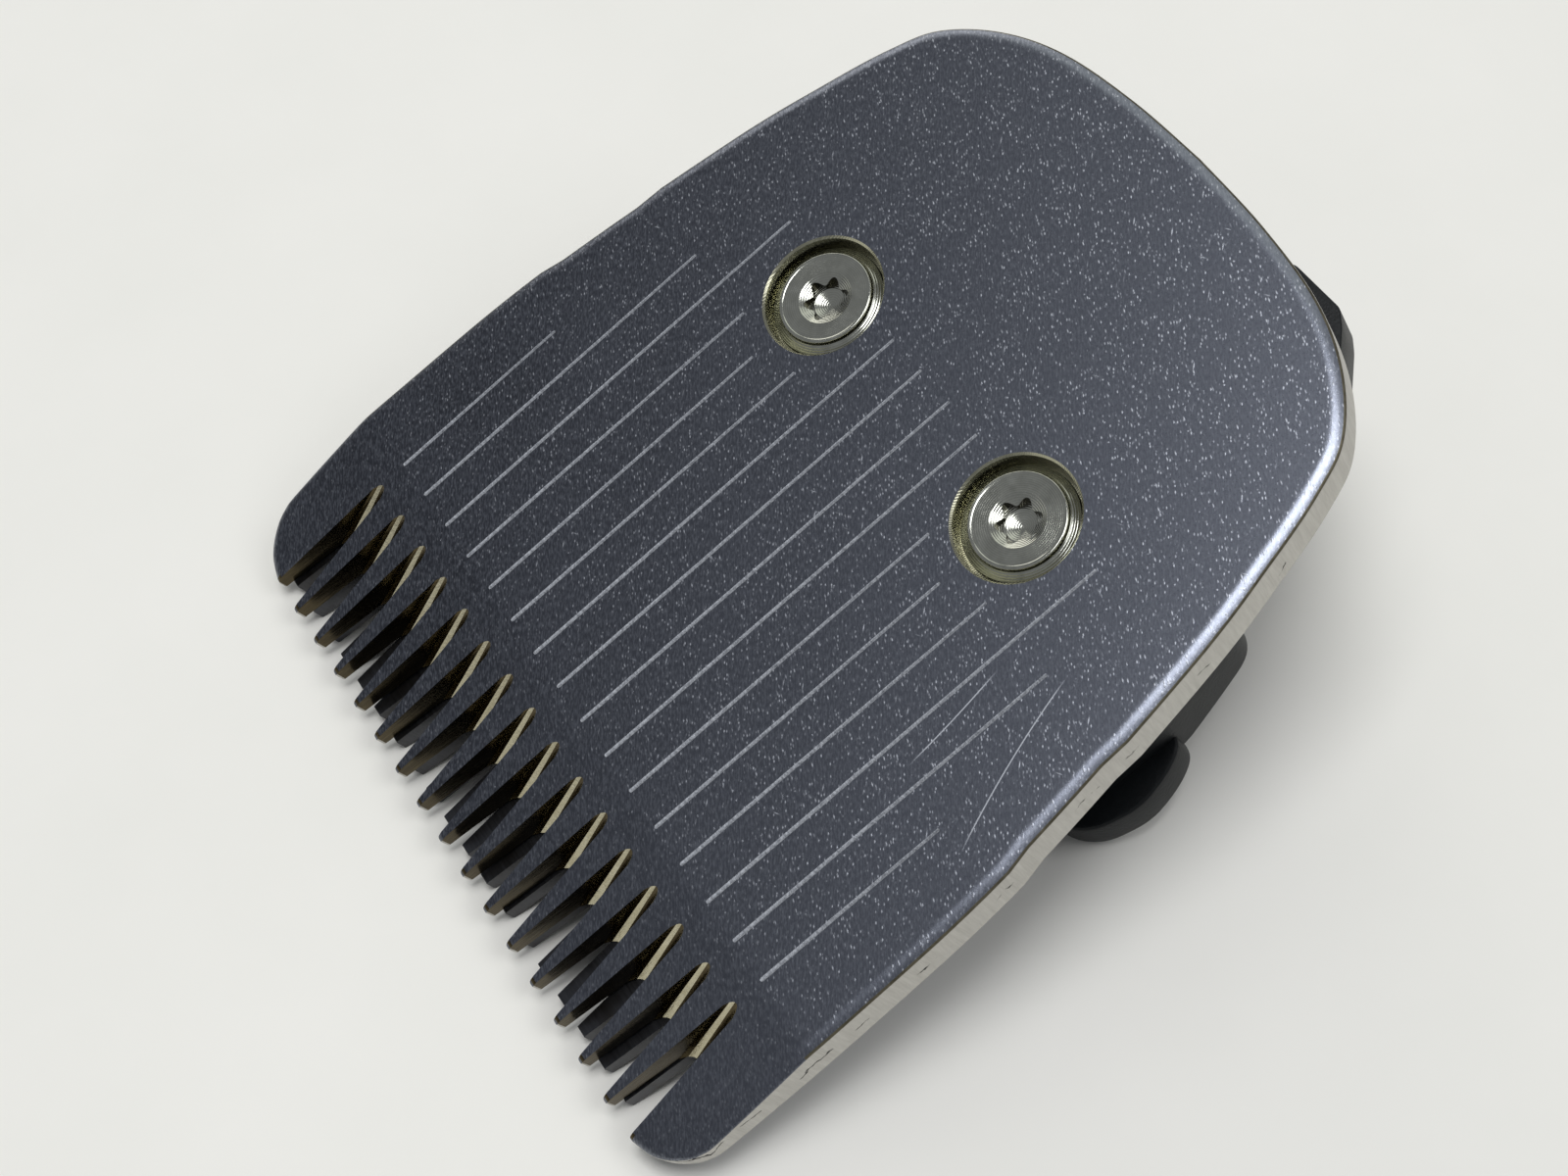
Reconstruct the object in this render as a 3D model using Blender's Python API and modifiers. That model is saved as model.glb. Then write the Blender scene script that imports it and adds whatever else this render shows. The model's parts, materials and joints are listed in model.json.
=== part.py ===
"""Detachable 41 mm blade head of a cordless hair clipper: steel guard comb plate, sliding cutter, drive
bridge, pressure spring and the plastic mouldings that carry them.

Lengths below are in millimetres, in the head's own axes: X runs along the row of teeth, Y from the teeth
to the rear, and Z out of the guard plate's front face, which is Z = 0. The finished head then lies on its
tooth tips and side hooks, tilted about X, with the middle of its underside at the world's origin.
"""

import math

import bmesh
import bpy
from mathutils import Matrix, Vector

MM = 0.001

# Guard comb plate
GAP_PITCH = 2.21
GAP_COUNT = 16
PLATE_THICK = 2.25
TOOTH_TIP_Y = -9.15
BEVEL_START_Y = -0.45  # the front face falls away from here to the tooth tips
BEVEL_DROP = 1.45
GAP_ROOT_Y = -1.25
GAP_FLOOR_END_Y = -5.3  # each gap's floor ramps down to the underside here
GAP_ROOT_HALF = 0.31
GAP_MOUTH_HALF = 0.96
RIM_RADIUS = 0.45
PLATE_HALF_OUTLINE = [
    (0.0, 37.35), (4.6, 37.15), (9.1, 36.5), (12.4, 35.2), (14.9, 33.2), (16.05, 30.9), (17.05, 27.6),
    (18.35, 22.1), (20.05, 11.05), (20.5, 2.2), (20.55, -5.0), (20.4, -6.7), (19.8, -7.8), (18.9, -8.6),
    (17.7, -9.05),
]
OUTLINE_STEPS = 3

# Screws, their holes and the brass inserts
SCREW_X = 7.74
SCREW_Y = 20.8
COUNTERBORE_RADIUS = 2.97
COUNTERBORE_DEPTH = 1.45
RIM_CHAMFER = 0.15
SCREW_HEAD_RADIUS = 2.45
SCREW_HEAD_TOP = -0.3
SCREW_SHANK_RADIUS = 1.2
SCREW_TIP_Z = -9.0
CLEAR_HOLE_RADIUS = 1.45
RECESS_RADIUS = 1.0
RECESS_LOBE = 0.16
RECESS_DEPTH = 0.75
INSERT_RADIUS = 1.9
INSERT_BORE_RADIUS = 1.3
INSERT_TOP_Z = -4.4
INSERT_BOTTOM_Z = -9.1

# Moving cutter
FIT = 0.1  # gap left between pieces that touch
CUTTER_THICK = 0.9
CUTTER_TOP_Z = -PLATE_THICK - FIT
CUTTER_BOTTOM_Z = CUTTER_TOP_Z - CUTTER_THICK
CUTTER_TOOTH_PITCH = 1.83
CUTTER_TOOTH_COUNT = 19
CUTTER_TIP_Y = -8.6
CUTTER_ROOT_Y = -4.4
CUTTER_REAR_Y = 7.5
CUTTER_TIP_HALF = 0.3
CUTTER_ROOT_HALF = 0.62
CUTTER_PARK_X = -1.0  # the cutter stopped this far off centre

# Drive bridge and the rivets that hold it to the cutter
BRIDGE_TOP_Z = CUTTER_BOTTOM_Z - FIT
BRIDGE_FOOT_Z = BRIDGE_TOP_Z - 1.15
BRIDGE_FOOT_HALF = 12.5
BRIDGE_HALF = 4.5
BRIDGE_REAR_Y = 15.3
TOWER_FRONT_Y = 8.0
TOWER_BOTTOM_Z = -8.9
DRIVE_SLOT = (-2.3, 2.3, 8.9, 14.5, -9.5, -4.6)
RIVET_X = 6.5
RIVET_Y = 3.0
RIVET_RADIUS = 0.8
RIVET_HEAD_RADIUS = 1.3

# Carrier frame, clamped between the plate and the base
CARRIER_TOP_Z = -PLATE_THICK - FIT
CARRIER_PANEL_Z = CARRIER_TOP_Z - 1.5
CARRIER_BOTTOM_Z = -4.9
CARRIER_HALF_OUTLINE = [
    (0.0, 36.6), (8.8, 36.3), (12.2, 34.4), (14.4, 31.0), (15.4, 26.0), (15.8, 18.0), (15.9, 10.0), (15.0, 8.3),
    (0.0, 8.3),
]
CARRIER_POCKET_OUTLINE = [
    (0.0, 35.1), (8.2, 34.9), (11.2, 33.4), (13.1, 30.4), (14.1, 25.8), (14.5, 18.0), (14.5, 7.0), (0.0, 7.0),
]
WINDOW = (-6.6, 6.6, 7.0, 15.6, -6.0, -2.0)
COIL_OPENING = (8.9, 13.4, 25.3, 29.7, -6.0, -2.0)

# Coupling base, which plugs into the clipper
BASE_TOP_Z = -5.0
BASE_FLOOR_TOP_Z = -6.5
BASE_BOTTOM_Z = -8.0
BASE_HALF_OUTLINE = [
    (0.0, 37.25), (4.0, 37.25), (4.5, 37.75), (7.7, 37.75), (8.5, 37.2), (12.6, 33.4), (13.5, 30.0), (14.2, 25.0),
    (14.2, 7.6), (12.9, 5.6), (0.0, 5.6),
]
BASE_POCKET_OUTLINE = [(0.0, 32.6), (11.0, 32.6), (12.6, 28.0), (12.6, 4.0), (0.0, 4.0)]
BASE_WINDOW = (-6.6, 6.6, 7.7, 15.6, -9.5, -4.0)
BOSS_RADIUS = 3.2
BOSS_TOP_Z = CARRIER_PANEL_Z - FIT
BOSS_BOTTOM_Z = -9.3
LUG_TONGUE = (-6.0, 6.0, 33.2, 37.1, -10.0, -7.5)
WING_OUTLINE = [
    (12.4, 25.2), (14.1, 25.3), (15.1, 24.7), (15.7, 22.6), (16.4, 19.9), (16.2, 13.0), (14.0, 13.0), (14.0, 20.0),
    (13.2, 22.6),
]
WING_BOTTOM_Z = -11.2
HOOK_OUTLINE = [
    (13.8, 12.9), (16.0, 13.0), (17.3, 14.2), (17.9, 16.5), (17.5, 18.4), (16.9, 19.6), (16.3, 19.9), (13.8, 19.9),
]
HOOK_TOP_Z = -9.6
HOOK_BOTTOM_Z = -12.0
HOOK_RECESS = (14.6, 16.1, 12.0, 15.6, -10.9, -9.0)  # in the right hook, open to the front and top
RIB_X = 11.4
RIB = (0.6, 17.5, 32.0, -9.0, -7.5)  # half-width, front, rear, bottom, top

# Pressure spring
WIRE_RADIUS = 0.35
COIL_RADIUS = 1.25
COIL_Y = 27.5
COIL_Z = -4.6
COIL_TURNS = 2
COIL_STEP = 0.9  # sideways advance of each turn
COIL_POINTS = 12
ARM_X = 11.9
TIP_Z = BRIDGE_FOOT_Z - FIT - WIRE_RADIUS
PEG_RADIUS = 0.7

COLOURS = {
    "blade_steel": ((0.060, 0.064, 0.078), 0.24, 1.0),
    "cutter_steel": ((0.10, 0.10, 0.10), 0.3, 1.0),
    "screw_steel": ((0.30, 0.31, 0.28), 0.2, 1.0),
    "spring_steel": ((0.35, 0.35, 0.36), 0.25, 1.0),
    "brass": ((0.62, 0.45, 0.18), 0.3, 1.0),
    "black_plastic": ((0.012, 0.015, 0.018), 0.45, 0.0),
    "grey_plastic": ((0.30, 0.31, 0.31), 0.45, 0.0),
}


def clear_scene():
    for old in list(bpy.data.objects):
        bpy.data.objects.remove(old, do_unlink=True)


def new_collection(name):
    group = bpy.data.collections.new(name)
    bpy.context.scene.collection.children.link(group)
    return group


def make_material(name):
    colour, roughness, metallic = COLOURS[name]
    material = bpy.data.materials.new(name)
    material.use_nodes = True
    shader = material.node_tree.nodes["Principled BSDF"]
    shader.inputs["Base Color"].default_value = (*colour, 1.0)
    shader.inputs["Roughness"].default_value = roughness
    shader.inputs["Metallic"].default_value = metallic
    return material


clear_scene()
HEAD = new_collection("clipper_blade_head")
TOOLS = new_collection("cutters")
MATERIALS = {name: make_material(name) for name in COLOURS}
TILT = bpy.data.objects.new("tilt", None)
HEAD.objects.link(TILT)


def add_piece(name, data, material):
    piece = bpy.data.objects.new(name, data)
    HEAD.objects.link(piece)
    piece.parent = TILT
    data.materials.append(MATERIALS[material])
    return piece


def add_tool(name, mesh):
    """A body that is only cut from, or joined to, a piece."""
    tool = bpy.data.objects.new(name, mesh)
    TOOLS.objects.link(tool)
    tool.parent = TILT
    tool.hide_render = True
    tool.display_type = "WIRE"
    return tool


def combine(piece, mesh, operation, label):
    modifier = piece.modifiers.new(label, "BOOLEAN")
    modifier.operation = operation
    modifier.object = add_tool(f"{piece.name}_{label}", mesh)


def cut(piece, mesh, label):
    combine(piece, mesh, "DIFFERENCE", label)


def join(piece, mesh, label):
    combine(piece, mesh, "UNION", label)


def box_mesh(low_x, high_x, low_y, high_y, low_z, high_z):
    bm = bmesh.new()
    size = Vector((high_x - low_x, high_y - low_y, high_z - low_z)) * MM
    middle = Vector((high_x + low_x, high_y + low_y, high_z + low_z)) * MM / 2
    bmesh.ops.create_cube(bm, size=1.0, matrix=Matrix.Translation(middle) @ Matrix.Diagonal((*size, 1.0)))
    return finish_mesh(bm)


def rod_mesh(x, y, low_z, high_z, radius, segments=32, top_radius=None):
    bm = bmesh.new()
    middle = Matrix.Translation(Vector((x, y, (low_z + high_z) / 2)) * MM)
    bmesh.ops.create_cone(
        bm, cap_ends=True, segments=segments, radius1=radius * MM, radius2=(top_radius or radius) * MM,
        depth=(high_z - low_z) * MM, matrix=middle,
    )
    return finish_mesh(bm)


def cross_rod_mesh(low_x, high_x, y, z, radius, segments=16):
    """A round bar along X."""
    bm = bmesh.new()
    middle = Matrix.Translation(Vector(((low_x + high_x) / 2, y, z)) * MM)
    bmesh.ops.create_cone(
        bm, cap_ends=True, segments=segments, radius1=radius * MM, radius2=radius * MM,
        depth=(high_x - low_x) * MM, matrix=middle @ Matrix.Rotation(math.pi / 2, 4, "Y"),
    )
    return finish_mesh(bm)


def finish_mesh(bm):
    mesh = bpy.data.meshes.new("mesh")
    bm.to_mesh(mesh)
    bm.free()
    return mesh


def smooth_line(points, steps):
    """A smooth line through the points (Catmull-Rom), with a few points more on each stretch."""
    ends = [points[0]] + list(points) + [points[-1]]
    line = []
    for i in range(1, len(ends) - 2):
        a, b, c, d = (Vector(p) for p in ends[i - 1:i + 3])
        for step in range(steps):
            t = step / steps
            line.append((2 * b + (c - a) * t + (2 * a - 5 * b + 4 * c - d) * t**2
                         + (3 * b - a - 3 * c + d) * t**3) / 2)
    line.append(Vector(points[-1]))
    return line


def mirrored(half):
    """A closed outline from its right-hand half, listed from the middle of the rear round to the front."""
    right = [(x, y) for x, y in half]
    left = [(-x, y) for x, y in reversed(half) if x > 1e-6]
    return right + left


def slab_mesh(outline, low_z, high_z):
    """A flat outline made solid: a filled 2D curve in millimetres, extruded both ways and welded."""
    curve = bpy.data.curves.new("outline", "CURVE")
    curve.dimensions = "2D"
    curve.fill_mode = "BOTH"
    curve.extrude = (high_z - low_z) / 2
    spline = curve.splines.new("POLY")
    spline.points.add(len(outline) - 1)
    for point, (x, y) in zip(spline.points, outline):
        point.co = (x, y, 0.0, 1.0)
    spline.use_cyclic_u = True
    holder = bpy.data.objects.new("outline", curve)
    bpy.context.scene.collection.objects.link(holder)
    depsgraph = bpy.context.evaluated_depsgraph_get()
    mesh = bpy.data.meshes.new_from_object(holder.evaluated_get(depsgraph))
    bpy.data.objects.remove(holder, do_unlink=True)
    bm = bmesh.new()
    bm.from_mesh(mesh)
    bmesh.ops.remove_doubles(bm, verts=bm.verts, dist=0.001)
    bmesh.ops.dissolve_limit(bm, angle_limit=0.002, verts=bm.verts, edges=bm.edges)
    bmesh.ops.recalc_face_normals(bm, faces=bm.faces)
    bmesh.ops.translate(bm, verts=bm.verts, vec=(0, 0, (low_z + high_z) / 2))
    bmesh.ops.scale(bm, verts=bm.verts, vec=(MM, MM, MM))
    bm.to_mesh(mesh)
    bm.free()
    return mesh


def turned_piece(name, x, y, profile, material, segments=32):
    """A turned piece: its profile, in radius and height, spun about a vertical axis at (x, y)."""
    mesh = bpy.data.meshes.new(name)
    points = [(radius * MM, 0.0, z * MM) for radius, z in profile]
    edges = [(i, i + 1) for i in range(len(points) - 1)]
    if profile[0] == profile[-1]:
        points.pop()
        edges[-1] = (len(points) - 1, 0)
    mesh.from_pydata(points, edges, [])
    piece = add_piece(name, mesh, material)
    piece.location = (x * MM, y * MM, 0.0)
    screw = piece.modifiers.new("turn", "SCREW")
    screw.steps = screw.render_steps = segments
    screw.use_merge_vertices = True
    screw.merge_threshold = 1e-6
    return piece


def gap_row(count, middle_x, pitch, root, mouth, ramp, low_z, high_z):
    """Wedges that cut a row of tooth gaps. root and mouth are (y, half-width); ramp is how far each gap's
    floor runs forward on its way down from high_z to low_z."""
    bm = bmesh.new()
    spare = 0.6
    above, below, ahead = high_z + spare, low_z - spare, mouth[0] - 1.5
    run = ramp / (high_z - low_z)
    widen = (mouth[1] - root[1]) / (root[0] - mouth[0])
    for index in range(count):
        middle = middle_x + (index - (count - 1) / 2) * pitch
        for vert in bmesh.ops.create_cube(bm, size=2.0)["verts"]:
            z = above if vert.co.z > 0 else below
            y = root[0] + (z - high_z) * run if vert.co.y > 0 else ahead
            half = root[1] + widen * (root[0] - y)
            vert.co = Vector((middle + vert.co.x * half, y, z)) * MM
    return finish_mesh(bm)


def bevel_wedge():
    """What is ground off the front face towards the tooth tips."""
    bm = bmesh.new()
    slope = BEVEL_DROP / (BEVEL_START_Y - TOOTH_TIP_Y)
    ahead = TOOTH_TIP_Y - 2.0
    for vert in bmesh.ops.create_cube(bm, size=2.0)["verts"]:
        y = BEVEL_START_Y + 2.0 if vert.co.y > 0 else ahead
        z = 4.0 if vert.co.z > 0 else -slope * (BEVEL_START_Y - y)
        vert.co = Vector((vert.co.x * 30.0, y, z)) * MM
    return finish_mesh(bm)


def screw_seat_mesh(x):
    """Counterbore, chamfered rim and through hole for one screw, as one turned cutter."""
    bm = bmesh.new()
    profile = [
        (0.0, 1.0), (COUNTERBORE_RADIUS + RIM_CHAMFER + 1.0, 1.0), (COUNTERBORE_RADIUS, -RIM_CHAMFER),
        (COUNTERBORE_RADIUS, -COUNTERBORE_DEPTH), (CLEAR_HOLE_RADIUS, -COUNTERBORE_DEPTH),
        (CLEAR_HOLE_RADIUS, -PLATE_THICK - 1.0), (0.0, -PLATE_THICK - 1.0),
    ]
    verts = [bm.verts.new((radius * MM, 0.0, z * MM)) for radius, z in profile]
    edges = [bm.edges.new(pair) for pair in zip(verts, verts[1:])]
    bmesh.ops.spin(
        bm, geom=verts + edges, cent=(0, 0, 0), axis=(0, 0, 1), angle=2 * math.pi, steps=40, use_merge=True
    )
    bmesh.ops.remove_doubles(bm, verts=bm.verts, dist=1e-7)
    bmesh.ops.recalc_face_normals(bm, faces=bm.faces)
    bmesh.ops.translate(bm, verts=bm.verts, vec=(x * MM, SCREW_Y * MM, 0))
    return finish_mesh(bm)


def round_top_rim(mesh, radius, segments):
    bm = bmesh.new()
    bm.from_mesh(mesh)
    top = max(vert.co.z for vert in bm.verts)
    rim = [edge for edge in bm.edges if all(vert.co.z > top - 1e-6 for vert in edge.verts)]
    bmesh.ops.bevel(
        bm, geom=rim, offset=radius * MM, offset_type="OFFSET", affect="EDGES", segments=segments, profile=0.5,
        material=-1, clamp_overlap=True,
    )
    bm.to_mesh(mesh)
    bm.free()


def guard_plate():
    half = [(point.x, point.y) for point in smooth_line(PLATE_HALF_OUTLINE, OUTLINE_STEPS)]
    outline = mirrored(half + [(GAP_PITCH * 7.0, TOOTH_TIP_Y)])
    mesh = slab_mesh(outline, -PLATE_THICK, 0.0)
    round_top_rim(mesh, RIM_RADIUS, 2)
    plate = add_piece("guard_plate", mesh, "blade_steel")
    cut(plate, bevel_wedge(), "bevel")
    gaps = gap_row(
        GAP_COUNT, 0.0, GAP_PITCH, (GAP_ROOT_Y, GAP_ROOT_HALF), (TOOTH_TIP_Y, GAP_MOUTH_HALF),
        GAP_ROOT_Y - GAP_FLOOR_END_Y, -PLATE_THICK, 0.0,
    )
    cut(plate, gaps, "gaps")
    for side in (-1, 1):
        cut(plate, screw_seat_mesh(side * SCREW_X), f"seat_{side}")


def moving_cutter():
    half = CUTTER_TOOTH_PITCH * CUTTER_TOOTH_COUNT / 2
    outline = mirrored([
        (0.0, CUTTER_REAR_Y), (half - 1.5, CUTTER_REAR_Y), (half, CUTTER_REAR_Y - 1.5), (half, CUTTER_TIP_Y),
    ])
    outline = [(x + CUTTER_PARK_X, y) for x, y in outline]
    cutter = add_piece("moving_cutter", slab_mesh(outline, CUTTER_BOTTOM_Z, CUTTER_TOP_Z), "cutter_steel")
    gap = CUTTER_TOOTH_PITCH / 2
    gaps = gap_row(
        CUTTER_TOOTH_COUNT + 1, CUTTER_PARK_X, CUTTER_TOOTH_PITCH, (CUTTER_ROOT_Y, gap - CUTTER_ROOT_HALF),
        (CUTTER_TIP_Y, gap - CUTTER_TIP_HALF), 0.0, CUTTER_BOTTOM_Z, CUTTER_TOP_Z,
    )
    cut(cutter, gaps, "gaps")
    sink = RIVET_HEAD_RADIUS - RIVET_RADIUS
    hole = RIVET_RADIUS + FIT
    for side in (-1, 1):
        x = CUTTER_PARK_X + side * RIVET_X
        cut(cutter, rod_mesh(x, RIVET_Y, CUTTER_BOTTOM_Z - 1.0, CUTTER_TOP_Z - sink / 2, hole, 24), f"hole_{side}")
        countersink = rod_mesh(x, RIVET_Y, CUTTER_TOP_Z - sink, CUTTER_TOP_Z + 1.0, hole, 24, hole + sink + 1.0)
        cut(cutter, countersink, f"sink_{side}")


def drive_bridge():
    half = [
        (0.0, BRIDGE_REAR_Y), (BRIDGE_HALF, BRIDGE_REAR_Y), (BRIDGE_HALF, 7.2), (BRIDGE_HALF + 0.8, 6.4),
        (BRIDGE_FOOT_HALF - 1.0, 6.4), (BRIDGE_FOOT_HALF, 5.4), (BRIDGE_FOOT_HALF, 0.5),
        (BRIDGE_FOOT_HALF - 1.0, -0.5), (0.0, -0.5),
    ]
    outline = [(x + CUTTER_PARK_X, y) for x, y in mirrored(half)]
    bridge = add_piece("drive_bridge", slab_mesh(outline, BRIDGE_FOOT_Z, BRIDGE_TOP_Z), "grey_plastic")
    left, right = CUTTER_PARK_X - BRIDGE_HALF, CUTTER_PARK_X + BRIDGE_HALF
    tower = box_mesh(left, right, TOWER_FRONT_Y, BRIDGE_REAR_Y, TOWER_BOTTOM_Z, BRIDGE_FOOT_Z + 0.5)
    join(bridge, tower, "tower")
    low_x, high_x, *rest = DRIVE_SLOT
    cut(bridge, box_mesh(low_x + CUTTER_PARK_X, high_x + CUTTER_PARK_X, *rest), "drive_slot")
    for side in (-1, 1):
        hole = rod_mesh(CUTTER_PARK_X + side * RIVET_X, RIVET_Y, -6.0, -2.0, RIVET_RADIUS + FIT, 24)
        cut(bridge, hole, f"rivet_hole_{side}")


def rivets():
    top = CUTTER_TOP_Z - 0.05
    sink = RIVET_HEAD_RADIUS - RIVET_RADIUS
    seat = BRIDGE_FOOT_Z - FIT
    profile = [
        (0.0, top), (RIVET_HEAD_RADIUS, top), (RIVET_RADIUS, top - sink), (RIVET_RADIUS, seat),
        (RIVET_HEAD_RADIUS, seat), (RIVET_HEAD_RADIUS - 0.15, seat - 0.4), (0.0, seat - 0.5),
    ]
    for name, side in (("cutter_rivet_left", -1), ("cutter_rivet_right", 1)):
        turned_piece(name, CUTTER_PARK_X + side * RIVET_X, RIVET_Y, profile, "spring_steel", 24)


def screws():
    seat = -COUNTERBORE_DEPTH + FIT
    profile = [
        (0.0, SCREW_HEAD_TOP), (SCREW_HEAD_RADIUS - 0.2, SCREW_HEAD_TOP), (SCREW_HEAD_RADIUS, SCREW_HEAD_TOP - 0.2),
        (SCREW_HEAD_RADIUS, seat), (SCREW_SHANK_RADIUS, seat), (SCREW_SHANK_RADIUS, SCREW_TIP_Z + 0.4),
        (SCREW_SHANK_RADIUS - 0.4, SCREW_TIP_Z), (0.0, SCREW_TIP_Z),
    ]
    lobes = 6
    points = 48
    for name, side in (("screw_left", -1), ("screw_right", 1)):
        screw = turned_piece(name, side * SCREW_X, SCREW_Y, profile, "screw_steel", 40)
        outline = []
        for index in range(points):
            angle = 2 * math.pi * index / points
            radius = RECESS_RADIUS + RECESS_LOBE * math.cos(lobes * angle)
            outline.append((side * SCREW_X + radius * math.cos(angle), SCREW_Y + radius * math.sin(angle)))
        cut(screw, slab_mesh(outline, SCREW_HEAD_TOP - RECESS_DEPTH, SCREW_HEAD_TOP + 0.5), "recess")


def inserts():
    groove = 0.25
    heights = [INSERT_TOP_Z, -5.6, -5.9, -7.3, -7.6, INSERT_BOTTOM_Z]
    outer = [
        (INSERT_RADIUS, heights[0]), (INSERT_RADIUS, heights[1]), (INSERT_RADIUS - groove, heights[2]),
        (INSERT_RADIUS - groove, heights[3]), (INSERT_RADIUS, heights[4]), (INSERT_RADIUS, heights[5]),
    ]
    profile = [(INSERT_BORE_RADIUS, INSERT_TOP_Z)] + outer
    profile += [(INSERT_BORE_RADIUS, INSERT_BOTTOM_Z), (INSERT_BORE_RADIUS, INSERT_TOP_Z)]
    for name, side in (("insert_left", -1), ("insert_right", 1)):
        turned_piece(name, side * SCREW_X, SCREW_Y, profile, "brass", 32)


def carrier_frame():
    outline = mirrored(CARRIER_HALF_OUTLINE)
    frame = add_piece("carrier_frame", slab_mesh(outline, CARRIER_BOTTOM_Z, CARRIER_TOP_Z), "black_plastic")
    pocket = slab_mesh(mirrored(CARRIER_POCKET_OUTLINE), CARRIER_BOTTOM_Z - 1.0, CARRIER_PANEL_Z)
    cut(frame, pocket, "pocket")
    cut(frame, box_mesh(*WINDOW), "window")
    low_x, high_x, *rest = COIL_OPENING
    cut(frame, box_mesh(low_x, high_x, *rest), "coil_right")
    cut(frame, box_mesh(-high_x, -low_x, *rest), "coil_left")
    for side in (-1, 1):
        hole = rod_mesh(side * SCREW_X, SCREW_Y, -6.0, -2.0, CLEAR_HOLE_RADIUS)
        cut(frame, hole, f"screw_hole_{side}")


def coupling_base():
    outline = mirrored(BASE_HALF_OUTLINE)
    base = add_piece("coupling_base", slab_mesh(outline, BASE_BOTTOM_Z, BASE_TOP_Z), "black_plastic")
    pocket = slab_mesh(mirrored(BASE_POCKET_OUTLINE), BASE_FLOOR_TOP_Z, BASE_TOP_Z + 1.0)
    cut(base, pocket, "pocket")
    join(base, box_mesh(*LUG_TONGUE), "tongue")
    for side in (-1, 1):
        join(base, rod_mesh(side * SCREW_X, SCREW_Y, BOSS_BOTTOM_Z, BOSS_TOP_Z, BOSS_RADIUS), f"boss_{side}")
        wing = [(side * x, y) for x, y in WING_OUTLINE]
        join(base, slab_mesh(wing, WING_BOTTOM_Z, BASE_TOP_Z - 0.2), f"wing_{side}")
        hook = [(side * x, y) for x, y in HOOK_OUTLINE]
        join(base, slab_mesh(hook, HOOK_BOTTOM_Z, HOOK_TOP_Z), f"hook_{side}")
        ear = sorted((side * 12.4, side * 13.2))
        join(base, box_mesh(*ear, COIL_Y - 1.2, COIL_Y + 1.2, BASE_BOTTOM_Z + 0.5, -3.0), f"ear_{side}")
        peg = sorted((side * 9.7, side * 12.8))
        join(base, cross_rod_mesh(*peg, COIL_Y, COIL_Z, PEG_RADIUS), f"peg_{side}")
        half, front, rear, low, high = RIB
        rib_x = side * RIB_X
        join(base, box_mesh(rib_x - half, rib_x + half, front, rear, low, high), f"rib_{side}")
    cut(base, box_mesh(*BASE_WINDOW), "window")
    inner, outer, *rest = HOOK_RECESS
    cut(base, box_mesh(inner, outer, *rest), "recess_right")
    cut(base, box_mesh(-outer, -inner, *rest), "recess_left")
    for side in (-1, 1):
        bore = rod_mesh(side * SCREW_X, SCREW_Y, BOSS_BOTTOM_Z - 1.0, BOSS_TOP_Z + 1.0, INSERT_RADIUS + FIT)
        cut(base, bore, f"bore_{side}")


def spring_path():
    """Tip, arm and coil on the left, the cross bar at the rear, and the same again on the right."""
    coil_low = COIL_Z - COIL_RADIUS
    arm = smooth_line([
        (-9.4, 3.4, TIP_Z), (-10.7, 4.4, TIP_Z), (-11.6, 6.6, TIP_Z), (-ARM_X, 10.0, TIP_Z - 0.1),
        (-ARM_X, 18.0, TIP_Z - 0.45), (-ARM_X, COIL_Y - 1.2, coil_low + 0.02),
    ], 3)
    coil = []
    count = COIL_TURNS * COIL_POINTS
    for index in range(count + 1):
        angle = 2 * math.pi * index / COIL_POINTS - math.pi / 2
        x = -ARM_X + COIL_STEP * index / COIL_POINTS
        coil.append(Vector((x, COIL_Y + COIL_RADIUS * math.cos(angle), COIL_Z + COIL_RADIUS * math.sin(angle))))
    end_x = -ARM_X + COIL_STEP * COIL_TURNS
    bar_z = CARRIER_PANEL_Z - FIT - WIRE_RADIUS
    rear = smooth_line([
        (end_x, COIL_Y + 1.3, coil_low + 0.2), (end_x, 30.0, bar_z - 0.3), (-9.2, 31.3, bar_z), (-7.6, 31.5, bar_z),
        (0.0, 31.5, bar_z),
    ], 3)
    left = list(arm) + coil + rear
    return left + [Vector((-point.x, point.y, point.z)) for point in reversed(left[:-1])]


def pressure_spring():
    curve = bpy.data.curves.new("pressure_spring", "CURVE")
    curve.dimensions = "3D"
    curve.bevel_depth = WIRE_RADIUS * MM
    curve.bevel_resolution = 2
    curve.use_fill_caps = True
    path = spring_path()
    spline = curve.splines.new("POLY")
    spline.points.add(len(path) - 1)
    for point, place in zip(spline.points, path):
        point.co = (*(place * MM), 1.0)
    add_piece("pressure_spring", curve, "spring_steel")


def lay_down():
    """Tilts the head onto its cutter tips and hooks, with the middle of its underside at the origin."""
    drop = CUTTER_BOTTOM_Z - HOOK_BOTTOM_Z
    run = HOOK_OUTLINE[0][1] - CUTTER_TIP_Y
    TILT.rotation_euler = (math.atan2(drop, run), 0.0, 0.0)
    bpy.context.view_layer.update()
    depsgraph = bpy.context.evaluated_depsgraph_get()
    low, high = Vector((1.0, 1.0, 1.0)), Vector((-1.0, -1.0, -1.0))
    for piece in HEAD.objects:
        if piece.type == "EMPTY":
            continue
        shown = piece.evaluated_get(depsgraph)
        mesh = shown.to_mesh()
        for vert in mesh.vertices:
            place = shown.matrix_world @ vert.co
            low = Vector(map(min, low, place))
            high = Vector(map(max, high, place))
        shown.to_mesh_clear()
    middle = (low + high) / 2
    TILT.location = (-middle.x, -middle.y, -low.z)
    bpy.context.view_layer.update()


guard_plate()
moving_cutter()
drive_bridge()
rivets()
carrier_frame()
coupling_base()
screws()
inserts()
pressure_spring()
lay_down()
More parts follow.
